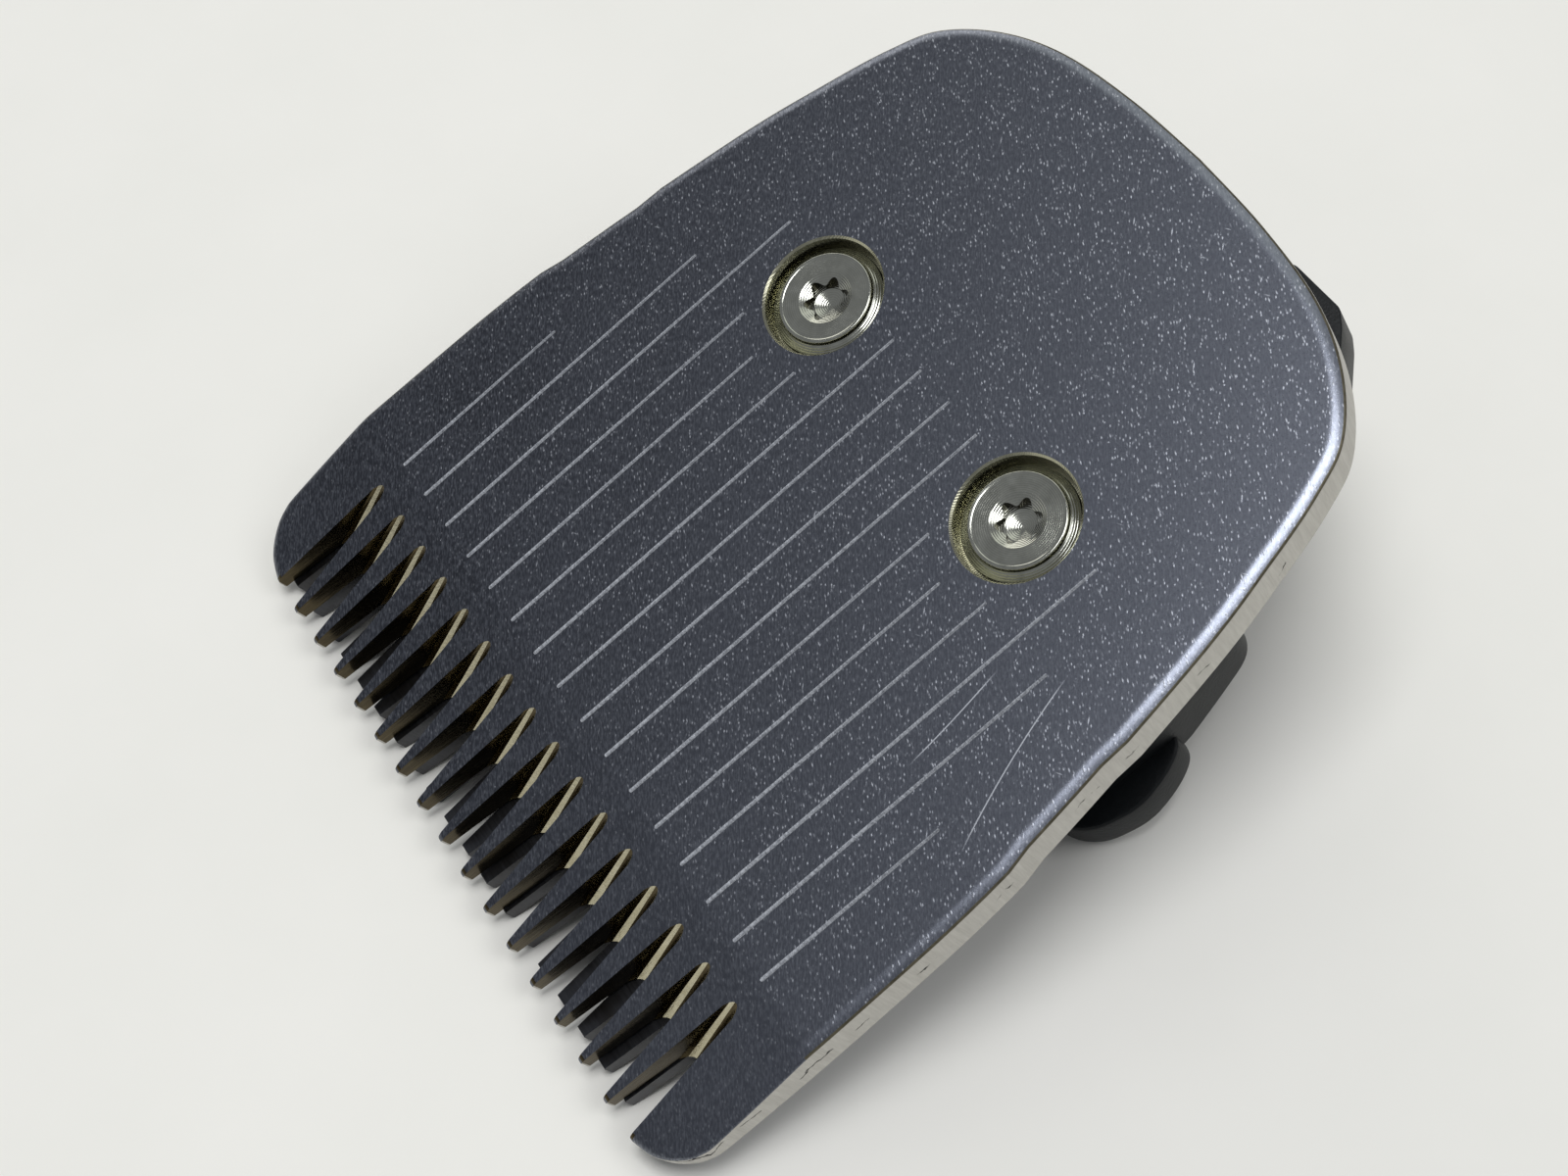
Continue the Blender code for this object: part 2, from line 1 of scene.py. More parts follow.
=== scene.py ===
"""Finished surfaces and materials for the 41 mm detachable blade head of a hair clipper: stamped steel guard
comb plate, sliding cutter, drive bridge, pressure spring, screws, inserts and two plastic mouldings.

Shapes are made in millimetres in the head's own axes (X along the row of teeth, Y from the teeth to the
rear, Z out of the guard plate's face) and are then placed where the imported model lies.
"""

import json
import math

import bmesh
import bpy
from mathutils import Matrix, Vector

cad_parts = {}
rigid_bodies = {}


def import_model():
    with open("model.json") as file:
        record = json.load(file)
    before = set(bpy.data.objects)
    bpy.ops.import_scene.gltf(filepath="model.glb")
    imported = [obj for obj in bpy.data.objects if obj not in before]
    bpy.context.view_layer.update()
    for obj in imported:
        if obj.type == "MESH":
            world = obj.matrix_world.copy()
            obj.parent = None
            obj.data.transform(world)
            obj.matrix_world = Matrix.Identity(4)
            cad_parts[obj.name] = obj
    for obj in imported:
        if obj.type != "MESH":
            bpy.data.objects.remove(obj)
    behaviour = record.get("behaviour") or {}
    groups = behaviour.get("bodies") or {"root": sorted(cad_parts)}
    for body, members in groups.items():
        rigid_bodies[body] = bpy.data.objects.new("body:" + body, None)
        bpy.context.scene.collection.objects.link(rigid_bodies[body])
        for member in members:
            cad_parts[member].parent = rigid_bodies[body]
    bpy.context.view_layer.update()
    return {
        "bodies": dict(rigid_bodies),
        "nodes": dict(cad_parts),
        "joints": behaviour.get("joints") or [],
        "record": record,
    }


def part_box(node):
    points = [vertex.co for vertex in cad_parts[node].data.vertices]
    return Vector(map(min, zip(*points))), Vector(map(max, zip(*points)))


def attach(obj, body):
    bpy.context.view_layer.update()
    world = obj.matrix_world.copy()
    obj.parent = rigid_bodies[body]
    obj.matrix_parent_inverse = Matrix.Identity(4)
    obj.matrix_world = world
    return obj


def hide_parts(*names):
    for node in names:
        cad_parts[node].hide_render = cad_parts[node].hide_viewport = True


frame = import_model()

MM = 0.001

# How the head lies: on its cutter tips and side hooks
REST_DROP = 8.75
REST_RUN = 21.5
TILT = math.atan2(REST_DROP, REST_RUN)

# Guard comb plate
PLATE_THICK = 2.25
PLATE_HALF_OUTLINE = [
    (0.0, 37.35), (4.6, 37.15), (9.1, 36.5), (12.4, 35.2), (14.9, 33.2), (16.05, 30.9), (17.05, 27.6),
    (18.35, 22.1), (20.05, 11.05), (20.5, 2.2), (20.55, -5.0), (20.4, -6.7), (19.8, -7.8), (18.9, -8.6),
    (17.7, -9.05),
]
OUTLINE_STEPS = 8
TOOTH_TIP_Y = -9.15
BEVEL_START_Y = -0.45
BEVEL_DROP = 1.45
BEVEL_BLEND = 0.55  # the bend at the start of the bevel is this long each way
GAP_PITCH = 2.21
GAP_COUNT = 16
GAP_ROOT_Y = -1.25
GAP_FLOOR_END_Y = -5.3
GAP_ROOT_HALF = 0.31
GAP_MOUTH_HALF = 0.96
GAP_FLOOR_ROUND = 1.08  # floor radius over half-width
SIDE_FLAT_Y = (11.3, 17.9)  # a shallow flat in each side of the outline
SIDE_FLAT_DEPTH = 0.16
ROLL_WIDTH = 0.6  # soft roll just inside the plate's edge
ROLL_DROP = 0.14
FRONT_ROLL_WIDTH = 0.32
FRONT_ROLL_DROP = 0.07
ROLL_WIDENS_Y = (-7.0, 3.0)  # from the front roll to the full one
EDGE_RADIUS = 0.2
BURR_RADIUS = 0.06
FACE, SHEARED, SCRIBED, PAINTED_GAP_REFLECTION, SEAT, PAINTED_GAP_HIGHLIGHT, PAINTED_EDGE_REFLECTION = range(7)  # order of the plate's materials

# Guide lines engraved between the tooth gaps and the rear, listed from the side to the middle
HALF_LINE_ENDS_Y = [9.79, 17.41, 21.86, 17.39, 16.40, 17.41, 21.83, 21.86]
LINE_ENDS_Y = HALF_LINE_ENDS_Y + HALF_LINE_ENDS_Y[::-1]
LINE_RADIUS = 0.25
LINE_HALF = 0.1

# Screws and their seats
SCREW_X = 7.74
SCREW_Y = 20.8
SEAT_RADIUS = 2.97
SEAT_CHAMFER = 0.1
SEAT_DEPTH = 1.45
CLEAR_HOLE_RADIUS = 1.45
HEAD_TOP = -0.22
HEAD_RADIUS = 2.45
SHANK_RADIUS = 1.2
SCREW_TIP_Z = -9.0
THREAD_PITCH = 0.6
THREAD_DEPTH = 0.16
SOCKET_RADIUS = 0.95
SOCKET_LOBE = 0.17
SOCKET_LOBES = 6
SOCKET_STEPS = 72
SOCKET_RIM = 0.65
SOCKET_DEPTH = 1.0
SOCKET_CONE_RADIUS = 1.33
SOCKET_CONE_DEPTH = 0.42

# Cutter, bridge and rivets
FIT = 0.1
CUTTER_THICK = 0.9
CUTTER_TOP_Z = -PLATE_THICK - FIT
CUTTER_BOTTOM_Z = CUTTER_TOP_Z - CUTTER_THICK
CUTTER_PITCH = 1.83
CUTTER_TEETH = 19
CUTTER_TIP_Y = -8.6
CUTTER_ROOT_Y = -4.4
CUTTER_REAR_Y = 7.5
CUTTER_TIP_HALF = 0.3
CUTTER_ROOT_HALF = 0.62
CUTTER_PARK_X = -1.0
BRIDGE_FOOT_THICK = 1.15
BRIDGE_TOP_Z = CUTTER_BOTTOM_Z - FIT
BRIDGE_FOOT_Z = BRIDGE_TOP_Z - BRIDGE_FOOT_THICK
RIVET_X = 6.5
RIVET_Y = 3.0
RIVET_RADIUS = 0.8
RIVET_HEAD_RADIUS = 1.3

# Inserts
INSERT_RADIUS = 1.9
INSERT_BORE = 1.3
INSERT_TOP_Z = -4.4
INSERT_BOTTOM_Z = -9.1
INSERT_WAIST_Z = (-7.3, -5.9)  # a plain groove round the middle
KNURLS = 30

# Spring
WIRE_RADIUS = 0.35
COIL_RADIUS = 1.25
COIL_Y = 27.5
COIL_Z = -4.6
COIL_TURNS = 2
COIL_STEP = 0.9
COIL_POINTS = 20
ARM_X = 11.9
SPRING_TIP_Z = BRIDGE_FOOT_Z - FIT - WIRE_RADIUS

# Carrier frame, clamped between the plate and the base
CARRIER_TOP_Z = -PLATE_THICK - FIT
CARRIER_PANEL_THICK = 1.5
CARRIER_PANEL_Z = CARRIER_TOP_Z - CARRIER_PANEL_THICK
CARRIER_BOTTOM_Z = -4.9
SPRING_BAR_Z = CARRIER_PANEL_Z - FIT - WIRE_RADIUS  # the spring's cross bar bears on the panel
CARRIER_HALF_OUTLINE = [
    (0.0, 36.6), (8.8, 36.3), (12.2, 34.4), (14.4, 31.0), (15.4, 26.0), (15.8, 18.0), (15.9, 10.0),
    (15.0, 8.3), (0.0, 8.3),
]
CARRIER_POCKET_OUTLINE = [
    (0.0, 35.1), (8.2, 34.9), (11.2, 33.4), (13.1, 30.4), (14.1, 25.8), (14.5, 18.0), (14.5, 7.0), (0.0, 7.0),
]
CARRIER_WINDOW = (-6.6, 6.6, 7.0, 15.6)
COIL_OPENING = (8.9, 13.4, 25.3, 29.7)

# Coupling base, which plugs into the clipper
BASE_TOP_Z = -5.0
BASE_FLOOR_TOP_Z = -6.5
BASE_BOTTOM_Z = -8.0
BASE_HALF_OUTLINE = [
    (0.0, 37.25), (4.0, 37.25), (4.5, 37.75), (7.7, 37.75), (8.5, 37.2), (12.6, 33.4), (13.5, 30.0),
    (14.2, 25.0), (14.2, 7.6), (12.9, 5.6), (0.0, 5.6),
]
BASE_POCKET_OUTLINE = [(0.0, 32.6), (11.0, 32.6), (12.6, 28.0), (12.6, 4.0), (0.0, 4.0)]
BASE_WINDOW = (-6.6, 6.6, 7.7, 15.6)
BOSS_RADIUS = 3.2
BOSS_TOP_Z = CARRIER_PANEL_Z - FIT
BOSS_BOTTOM_Z = -9.3
TONGUE = (-6.0, 6.0, 33.2, 37.1)
TONGUE_BOTTOM_Z = -10.0
WING_OUTLINE = [
    (12.4, 25.2), (14.1, 25.3), (15.1, 24.7), (15.7, 22.6), (16.4, 19.9), (16.2, 13.0), (14.0, 13.0),
    (14.0, 20.0), (13.2, 22.6),
]
WING_BOTTOM_Z = -11.2
HOOK_OUTLINE = [
    (13.8, 12.9), (16.0, 13.0), (17.3, 14.2), (17.9, 16.5), (17.5, 18.4), (16.9, 19.6), (16.3, 19.9),
    (13.8, 19.9),
]
HOOK_TOP_Z = -9.6
HOOK_BOTTOM_Z = -12.0
HOOK_RECESS = (14.6, 16.1, 12.0, 15.6)
HOOK_RECESS_Z = -10.9
HANG_Z = -7.5  # the tongue and ribs start inside the base's floor
RIB_X = (10.8, 12.0)
RIB_Y = (17.5, 32.0)
RIB_BOTTOM_Z = -9.0
EAR_X = (12.4, 13.2)
EAR_HALF = 1.2
EAR_TOP_Z = -3.0
PEG_X = (9.7, 12.8)
PEG_RADIUS = 0.7

# Drive bridge
BRIDGE_FOOT_HALF = 12.5
BRIDGE_HALF = 4.5
BRIDGE_REAR_Y = 15.3
TOWER_FRONT_Y = 8.0
TOWER_BOTTOM_Z = -8.9
DRIVE_SLOT = (-2.3, 2.3, 8.9, 14.5)

# Camera, in the head's axes
CAMERA_SPOT = Vector((58.57, 20.82, 95.49))
CAMERA_AIM = Vector((2.80, 10.97, 0.0))
CAMERA_ROLL = math.radians(7.806)
CAMERA_LENS = 57.09


def head_placement():
    """Turns head axes in millimetres into the world's, from where the left insert lies."""
    turn = Matrix.Rotation(TILT, 4, "X")
    low, high = (Vector(corner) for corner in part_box("insert_left"))
    middle = Vector((-SCREW_X, SCREW_Y, (INSERT_TOP_Z + INSERT_BOTTOM_Z) / 2))
    origin = (low + high) / 2 - turn @ (middle * MM)
    return Matrix.Translation(origin) @ turn @ Matrix.Scale(MM, 4)


HEAD = head_placement()


# ---- mesh helpers


def smooth_line(points, steps):
    """A smooth line through the points (Catmull-Rom)."""
    ends = [points[0]] + list(points) + [points[-1]]
    line = []
    for i in range(1, len(ends) - 2):
        a, b, c, d = (Vector(p) for p in ends[i - 1:i + 3])
        for step in range(steps):
            t = step / steps
            line.append((2 * b + (c - a) * t + (2 * a - 5 * b + 4 * c - d) * t**2
                         + (3 * b - a - 3 * c + d) * t**3) / 2)
    line.append(Vector(points[-1]))
    return line


def mirrored(half):
    """A closed outline from its right-hand half, which starts and ends on or right of the middle."""
    right = [Vector(pair) for pair in half]
    left = [Vector((-point.x, point.y)) for point in reversed(right) if point.x > 1e-6]
    return right + left


def outward(outline):
    """Each point's outward direction on a closed outline that runs clockwise."""
    directions = []
    for before, after in zip(outline[-1:] + outline[:-1], outline[1:] + outline[:1]):
        along = (after - before).normalized()
        directions.append(Vector((-along.y, along.x)))
    return directions


def loft(bm, sections):
    """A closed body: a face on the first section, extruded on through the others."""
    order = bm.verts.layers.int.get("order") or bm.verts.layers.int.new("order")
    verts = [bm.verts.new(point) for point in sections[0]]
    for index, vert in enumerate(verts):
        vert[order] = index
    first = face = bm.faces.new(verts)
    for section in sections[1:]:
        made = bmesh.ops.extrude_face_region(bm, geom=[face])["geom"]
        if face is not first:
            bmesh.ops.delete(bm, geom=[face], context="FACES_ONLY")
        face = next(item for item in made if isinstance(item, bmesh.types.BMFace))
        for vert in face.verts:
            vert.co = section[vert[order]]
    return bm


def facing_out(bm):
    bmesh.ops.recalc_face_normals(bm, faces=bm.faces)
    return bm


def turned(profile, x, y, steps):
    """A turned body: its profile, in radius and height, spun about the upright line through (x, y)."""
    bm = bmesh.new()
    verts = [bm.verts.new((radius, 0.0, z)) for radius, z in profile]
    edges = [bm.edges.new(pair) for pair in zip(verts, verts[1:])]
    bmesh.ops.spin(
        bm, geom=verts + edges, cent=(0, 0, 0), axis=(0, 0, 1), angle=math.tau, steps=steps, use_merge=True
    )
    bmesh.ops.remove_doubles(bm, verts=bm.verts, dist=1e-4)
    bmesh.ops.recalc_face_normals(bm, faces=bm.faces)
    bmesh.ops.translate(bm, verts=bm.verts, vec=(x, y, 0.0))
    return bm


def slab(outline, low_z, high_z):
    """A flat outline made solid."""
    sections = [[(point[0], point[1], z) for point in outline] for z in (low_z, high_z)]
    return facing_out(loft(bmesh.new(), sections))


def loose_object(bm, name):
    mesh = bpy.data.meshes.new(name)
    bm.to_mesh(mesh)
    bm.free()
    holder = bpy.data.objects.new(name, mesh)
    bpy.context.scene.collection.objects.link(holder)
    return holder


def carve(bm, tool, operation="DIFFERENCE"):
    """Cuts the tool from a body, or joins it to the body, and gives back the result."""
    body, cutter = loose_object(bm, "body"), loose_object(tool, "cutter")
    modifier = body.modifiers.new("carve", "BOOLEAN")
    modifier.operation = operation
    modifier.object = cutter
    result = bmesh.new()
    result.from_object(body, bpy.context.evaluated_depsgraph_get())
    for holder in (body, cutter):
        mesh = holder.data
        bpy.data.objects.remove(holder, do_unlink=True)
        bpy.data.meshes.remove(mesh)
    bmesh.ops.remove_doubles(result, verts=result.verts, dist=1e-5)
    return result


def merged(*parts):
    """Several bodies in one mesh, for cutting in one go."""
    result = bmesh.new()
    for part in parts:
        mesh = bpy.data.meshes.new("part")
        part.to_mesh(mesh)
        part.free()
        result.from_mesh(mesh)
        bpy.data.meshes.remove(mesh)
    return result


def finish(node, bm, materials, body, sharp=28.0, choose=None):
    """Places a shape in the world as the finished piece for a node, moving with its body."""
    name = f"{node}_surface"
    for face in bm.faces:
        face.smooth = True
        if choose:
            face.material_index = choose(face)
    for edge in bm.edges:
        same = len({face.material_index for face in edge.link_faces}) == 1
        edge.smooth = same and edge.calc_face_angle(0.0) < math.radians(sharp)
    bmesh.ops.transform(bm, matrix=HEAD, verts=bm.verts)
    mesh = bpy.data.meshes.new(name)
    bm.to_mesh(mesh)
    bm.free()
    for material in materials:
        mesh.materials.append(material)
    piece = bpy.data.objects.new(name, mesh)
    bpy.context.scene.collection.objects.link(piece)
    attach(piece, body)
    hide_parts(node)


# ---- materials


def linear(text):
    """An sRGB hex value as a linear colour."""
    channels = [int(text[i:i + 2], 16) / 255 for i in (0, 2, 4)]
    return tuple(c / 12.92 if c <= 0.04045 else ((c + 0.055) / 1.055) ** 2.4 for c in channels) + (1.0,)


def add(tree, kind, inputs, out=0, **settings):
    """Adds a node with its settings, sets or links its inputs, and gives back one of its outputs."""
    made = tree.nodes.new("ShaderNode" + kind)
    for name, value in settings.items():
        setattr(made, name, value)
    for key, value in inputs.items():
        if isinstance(value, bpy.types.NodeSocket):
            tree.links.new(value, made.inputs[key])
        else:
            made.inputs[key].default_value = value
    return made.outputs[out]


def new_material(name, **fixed):
    """A Principled material with its fixed values, and its tree to build on."""
    material = bpy.data.materials.new(name)
    material.use_nodes = True
    tree = material.node_tree
    for key, value in fixed.items():
        tree.nodes["Principled BSDF"].inputs[key.replace("_", " ")].default_value = value
    return material, tree


def head_material(name, **fixed):
    """A material for a piece of the head, its tree, and the head's own axes in millimetres for patterns."""
    material, tree = new_material(name, **fixed)
    inputs = {"Location": HEAD.to_translation(), "Rotation": (TILT, 0.0, 0.0), "Scale": (MM, MM, MM)}
    inputs["Vector"] = add(tree, "TexCoord", {}, "Object")
    return material, tree, add(tree, "Mapping", inputs, vector_type="TEXTURE")


def feed(material, **inputs):
    """Links the finished patterns to the material's shader, and gives back the material."""
    tree = material.node_tree
    for key, value in inputs.items():
        tree.links.new(value, tree.nodes["Principled BSDF"].inputs[key.replace("_", " ")])
    return material


def turned_about(tree, where, angle, size):
    """Pattern axes turned in the plane of the face, each measured in its own size in millimetres."""
    inputs = {"Vector": where, "Rotation": (0.0, 0.0, math.radians(angle)), "Scale": size}
    return add(tree, "Mapping", inputs, vector_type="TEXTURE")


def cell_marks(tree, where, spacing, size, share):
    """Round marks, one to a cell, some bright and most of them faint or missing."""
    far = add(tree, "TexVoronoi", {"Vector": where, "Scale": 1 / spacing})
    chance = add(tree, "SeparateColor", {"Color": far.node.outputs["Color"]}, 1)
    inputs = {"Value": far, "From Min": size / 2 / spacing, "From Max": 0.0}
    mark = add(tree, "MapRange", inputs, interpolation_type="SMOOTHSTEP")
    inputs = {"Value": chance, "From Min": 1.0 - share, "From Max": 1.05}
    chosen = add(tree, "MapRange", inputs, interpolation_type="SMOOTHSTEP")
    return add(tree, "Math", {0: mark, 1: chosen}, operation="MULTIPLY")


def flecks(tree, where, angle, length, width, spacing, share):
    """Short straight marks that lie in one direction."""
    drawn = turned_about(tree, where, angle, (length / width, 1.0, 1.0))
    return cell_marks(tree, drawn, spacing, width, share)


def arc_scratch(tree, where, centre, radius, width, low_y, high_y):
    """One long hairline scratch: part of a wide circle, between two heights."""
    offset = add(tree, "VectorMath", {0: where, 1: (*centre, 0.0)}, operation="SUBTRACT")
    flat = add(tree, "VectorMath", {0: offset, 1: (1.0, 1.0, 0.0)}, operation="MULTIPLY")
    reach = add(tree, "VectorMath", {0: flat}, "Value", operation="LENGTH")
    line = add(tree, "Math", {0: reach, 1: radius, 2: width}, operation="COMPARE")
    y = add(tree, "SeparateXYZ", {0: where}, "Y")
    start = add(tree, "MapRange", {"Value": y, "From Min": low_y, "From Max": low_y + 1.0})
    end = add(tree, "MapRange", {"Value": y, "From Min": high_y, "From Max": high_y - 1.0})
    inside = add(tree, "Math", {0: start, 1: end}, operation="MULTIPLY")
    return add(tree, "Math", {0: line, 1: inside}, operation="MULTIPLY")


def handling_marks(tree, where):
    """Everything use has left on the face: a fine even scuffing, longer scratches and a few bright pits."""
    layers = [
        flecks(tree, where, -35, 0.22, 0.11, 0.14, 0.9), flecks(tree, where, -46, 0.55, 0.1, 0.3, 0.5),
        flecks(tree, where, -22, 0.32, 0.11, 0.2, 0.8), flecks(tree, where, 28, 0.5, 0.09, 0.5, 0.5),
        cell_marks(tree, where, 0.4, 0.14, 0.6), cell_marks(tree, where, 2.1, 0.24, 0.6),
        arc_scratch(tree, where, (60.0, 30.0), 46.5, 0.03, 10.0, 18.0),
        arc_scratch(tree, where, (-44.0, 6.0), 57.6, 0.03, 10.5, 16.0),
    ]
    marks = layers[0]
    for layer in layers[1:]:
        marks = add(tree, "Math", {0: marks, 1: layer}, operation="MAXIMUM")
    y = add(tree, "SeparateXYZ", {0: where}, "Y")
    inputs = {"Value": y, "From Min": -3.0, "From Max": 5.0, "To Min": 0.4, "To Max": 0.75}
    amount = add(tree, "MapRange", inputs)
    rubbed = add(tree, "MapRange", {"Value": y, "From Min": 20.0, "From Max": 37.0, "To Max": 0.15})
    amount = add(tree, "Math", {0: amount, 1: rubbed}, operation="ADD")
    return add(tree, "Math", {0: marks, 1: amount}, operation="MULTIPLY")


def polished_blade_steel():
    """Hardened stainless steel, barrel polished: a dark satin mirror, full of handling marks."""
    material, tree, where = head_material("polished_blade_steel", Metallic=1.0)
    x = add(tree, "SeparateXYZ", {0: where}, "X")
    y = add(tree, "SeparateXYZ", {0: where}, "Y")
    cloud = add(tree, "TexNoise", {"Vector": where, "Scale": 1 / 6.2, "Detail": 3.0, "Roughness": 0.6})
    grain = add(tree, "TexNoise", {"Vector": where, "Scale": 1 / 0.11, "Detail": 4.0, "Roughness": 0.7})
    brushed = turned_about(tree, where, -35, (0.3, 0.09, 0.09))
    brushed = add(tree, "TexNoise", {"Vector": brushed, "Scale": 1.0, "Detail": 2.0})
    colour = add(tree, "Mix", {0: cloud, 6: linear("3f4147"), 7: linear("595c65")}, 2, data_type="RGBA")
    # Painted reflection: the face is coloured lighter towards the rear and the right, standing for the
    # lighter reflection seen there.
    across = add(tree, "Math", {0: y, 1: x}, operation="ADD")
    rear = add(tree, "MapRange", {"Value": across, "From Min": -12.0, "From Max": 46.0})
    colour = add(tree, "Mix", {0: rear, 6: colour, 7: linear("777b85")}, 2, data_type="RGBA")
    scuffed = add(tree, "MapRange", {"Value": brushed, "From Min": 0.42, "From Max": 0.72, "To Max": 0.7})
    colour = add(tree, "Mix", {0: scuffed, 6: colour, 7: linear("8a8e97")}, 2, data_type="RGBA")
    marked = handling_marks(tree, where)
    colour = add(tree, "Mix", {0: marked, 6: colour, 7: linear("c9ccd2")}, 2, data_type="RGBA")
    rough = add(tree, "MapRange", {"Value": grain, "To Min": 0.22, "To Max": 0.36})
    rough = add(tree, "Math", {0: marked, 1: 0.35, 2: rough}, operation="MULTIPLY_ADD")
    height = add(tree, "Math", {0: grain, 1: 0.35, 2: marked}, operation="MULTIPLY_ADD")
    normal = add(tree, "Bump", {"Height": height, "Distance": 0.007 * MM})
    return feed(material, Base_Color=colour, Roughness=rough, Normal=normal)


def painted_dark_edge_steel():
    """The rounded top edge: a dull olive line round the bright face, a painted reflection standing for the
    dark band that the curved edge reflects.
    """
    material, tree, where = head_material("painted_dark_edge_steel", Metallic=1.0)
    tone_noise = add(tree, "TexNoise", {"Vector": where, "Scale": 1 / 0.5, "Detail": 4.0, "Roughness": 0.7})
    colour = add(tree, "Mix", {0: tone_noise, 6: linear("3a362c"), 7: linear("8a8470")}, 2, data_type="RGBA")
    rough = add(tree, "MapRange", {"Value": tone_noise, "To Min": 0.4, "To Max": 0.6})
    return feed(material, Base_Color=colour, Roughness=rough)


def sheared_steel():
    """The blanked edge of thick sheet: pale and matt, with short dark lines where the metal tore."""
    material, tree, where = head_material("sheared_steel", Metallic=1.0)
    y = add(tree, "SeparateXYZ", {0: where}, "Y")
    z = add(tree, "SeparateXYZ", {0: where}, "Z")
    drawn = add(tree, "Mapping", {"Vector": where, "Scale": (1 / 0.22, 1 / 0.22, 1 / 2.5)})
    grain = add(tree, "TexNoise", {"Vector": drawn, "Scale": 1.0, "Detail": 4.0, "Roughness": 0.7})
    colour = add(tree, "Mix", {0: grain, 6: linear("a3a09a"), 7: linear("d9d7d1")}, 2, data_type="RGBA")
    wander = add(tree, "TexNoise", {"Vector": where, "Scale": 1 / 2.2, "Detail": 4.0, "Roughness": 0.6})
    tear = add(tree, "Math", {0: wander, 1: 1.8, 2: z}, operation="MULTIPLY_ADD")
    torn = add(tree, "Math", {0: tear, 1: -0.35, 2: 0.045}, operation="COMPARE")
    front = add(tree, "MapRange", {"Value": y, "From Min": 5.0, "From Max": -4.0, "To Max": 0.16})
    patch = add(tree, "TexNoise", {"Vector": where, "Scale": 1 / 1.6, "Detail": 3.0})
    patch = add(tree, "Math", {0: patch, 1: front}, operation="ADD")
    open_tear = add(tree, "MapRange", {"Value": patch, "From Min": 0.6, "From Max": 0.65})
    dark = add(tree, "Math", {0: torn, 1: open_tear}, operation="MULTIPLY")
    colour = add(tree, "Mix", {0: dark, 6: colour, 7: linear("2a2725")}, 2, data_type="RGBA")
    rough = add(tree, "MapRange", {"Value": grain, "To Min": 0.42, "To Max": 0.62})
    normal = add(tree, "Bump", {"Height": grain, "Distance": 0.02 * MM})
    return feed(material, Base_Color=colour, Roughness=rough, Normal=normal)


def scribed_steel():
    """The floor of an engraved line: frosted metal, paler than the face."""
    material, tree, where = head_material("scribed_steel", Metallic=1.0)
    grain = add(tree, "TexNoise", {"Vector": where, "Scale": 1 / 0.16, "Detail": 4.0, "Roughness": 0.7})
    frost = add(tree, "MapRange", {"Value": grain, "From Min": 0.35, "From Max": 0.65})
    colour = add(tree, "Mix", {0: frost, 6: linear("7d8086"), 7: linear("b9bcc1")}, 2, data_type="RGBA")
    rough = add(tree, "MapRange", {"Value": grain, "To Min": 0.5, "To Max": 0.7})
    normal = add(tree, "Bump", {"Height": grain, "Distance": 0.02 * MM})
    return feed(material, Base_Color=colour, Roughness=rough, Normal=normal)


def ground_gap_steel(name, darker_reflection_colour, lighter_reflection_colour, line_colour):
    """Tooth gaps cut by a grinding wheel: fine lines along the cut, on a tone mottled between two colours
    that are a painted reflection of the warm surroundings inside the gaps.
    """
    material, tree, where = head_material(name, Metallic=1.0)
    drawn = add(tree, "Mapping", {"Vector": where, "Scale": (1 / 0.11, 1 / 1.7, 1 / 0.11)})
    lines = add(tree, "TexNoise", {"Vector": drawn, "Scale": 1.0, "Detail": 3.0, "Roughness": 0.6})
    tone_noise = add(tree, "TexNoise", {"Vector": where, "Scale": 1 / 1.1, "Detail": 3.0, "Roughness": 0.6})
    colour = add(tree, "Mix", {0: tone_noise, 6: linear(darker_reflection_colour), 7: linear(lighter_reflection_colour)}, 2, data_type="RGBA")
    ground = add(tree, "MapRange", {"Value": lines, "From Min": 0.5, "From Max": 0.8, "To Max": 0.6})
    colour = add(tree, "Mix", {0: ground, 6: colour, 7: linear(line_colour)}, 2, data_type="RGBA")
    rough = add(tree, "MapRange", {"Value": lines, "To Min": 0.14, "To Max": 0.3})
    normal = add(tree, "Bump", {"Height": lines, "Distance": 0.01 * MM})
    return feed(material, Base_Color=colour, Roughness=rough, Normal=normal)


RING_SPACING = 0.314  # how far apart the ring pattern's rings lie at a scale of 1


def turned_steel(name, dark, light, low_rough, high_rough, centre_x=0.0):
    """Plated steel turned on a lathe: very fine rings, with a yellowish cast in the seats."""
    material, tree, where = head_material(name, Metallic=1.0)
    centred = add(tree, "Mapping", {"Vector": where, "Location": (-centre_x, -SCREW_Y, 0.0)})
    spacing = 0.1
    inputs = {"Vector": centred, "Scale": RING_SPACING / spacing, "Distortion": 0.6, "Detail": 2.0}
    rings = add(tree, "TexWave", inputs, "Fac", wave_type="RINGS", rings_direction="Z")
    cloud = add(tree, "TexNoise", {"Vector": where, "Scale": 1 / 0.6, "Detail": 3.0, "Roughness": 0.6})
    shade = add(tree, "Math", {0: rings, 1: 0.25, 2: cloud}, operation="MULTIPLY_ADD", use_clamp=True)
    colour = add(tree, "Mix", {0: shade, 6: linear(dark), 7: linear(light)}, 2, data_type="RGBA")
    rough = add(tree, "MapRange", {"Value": cloud, "To Min": low_rough, "To Max": high_rough})
    normal = add(tree, "Bump", {"Height": rings, "Distance": 0.005 * MM})
    return feed(material, Base_Color=colour, Roughness=rough, Normal=normal)


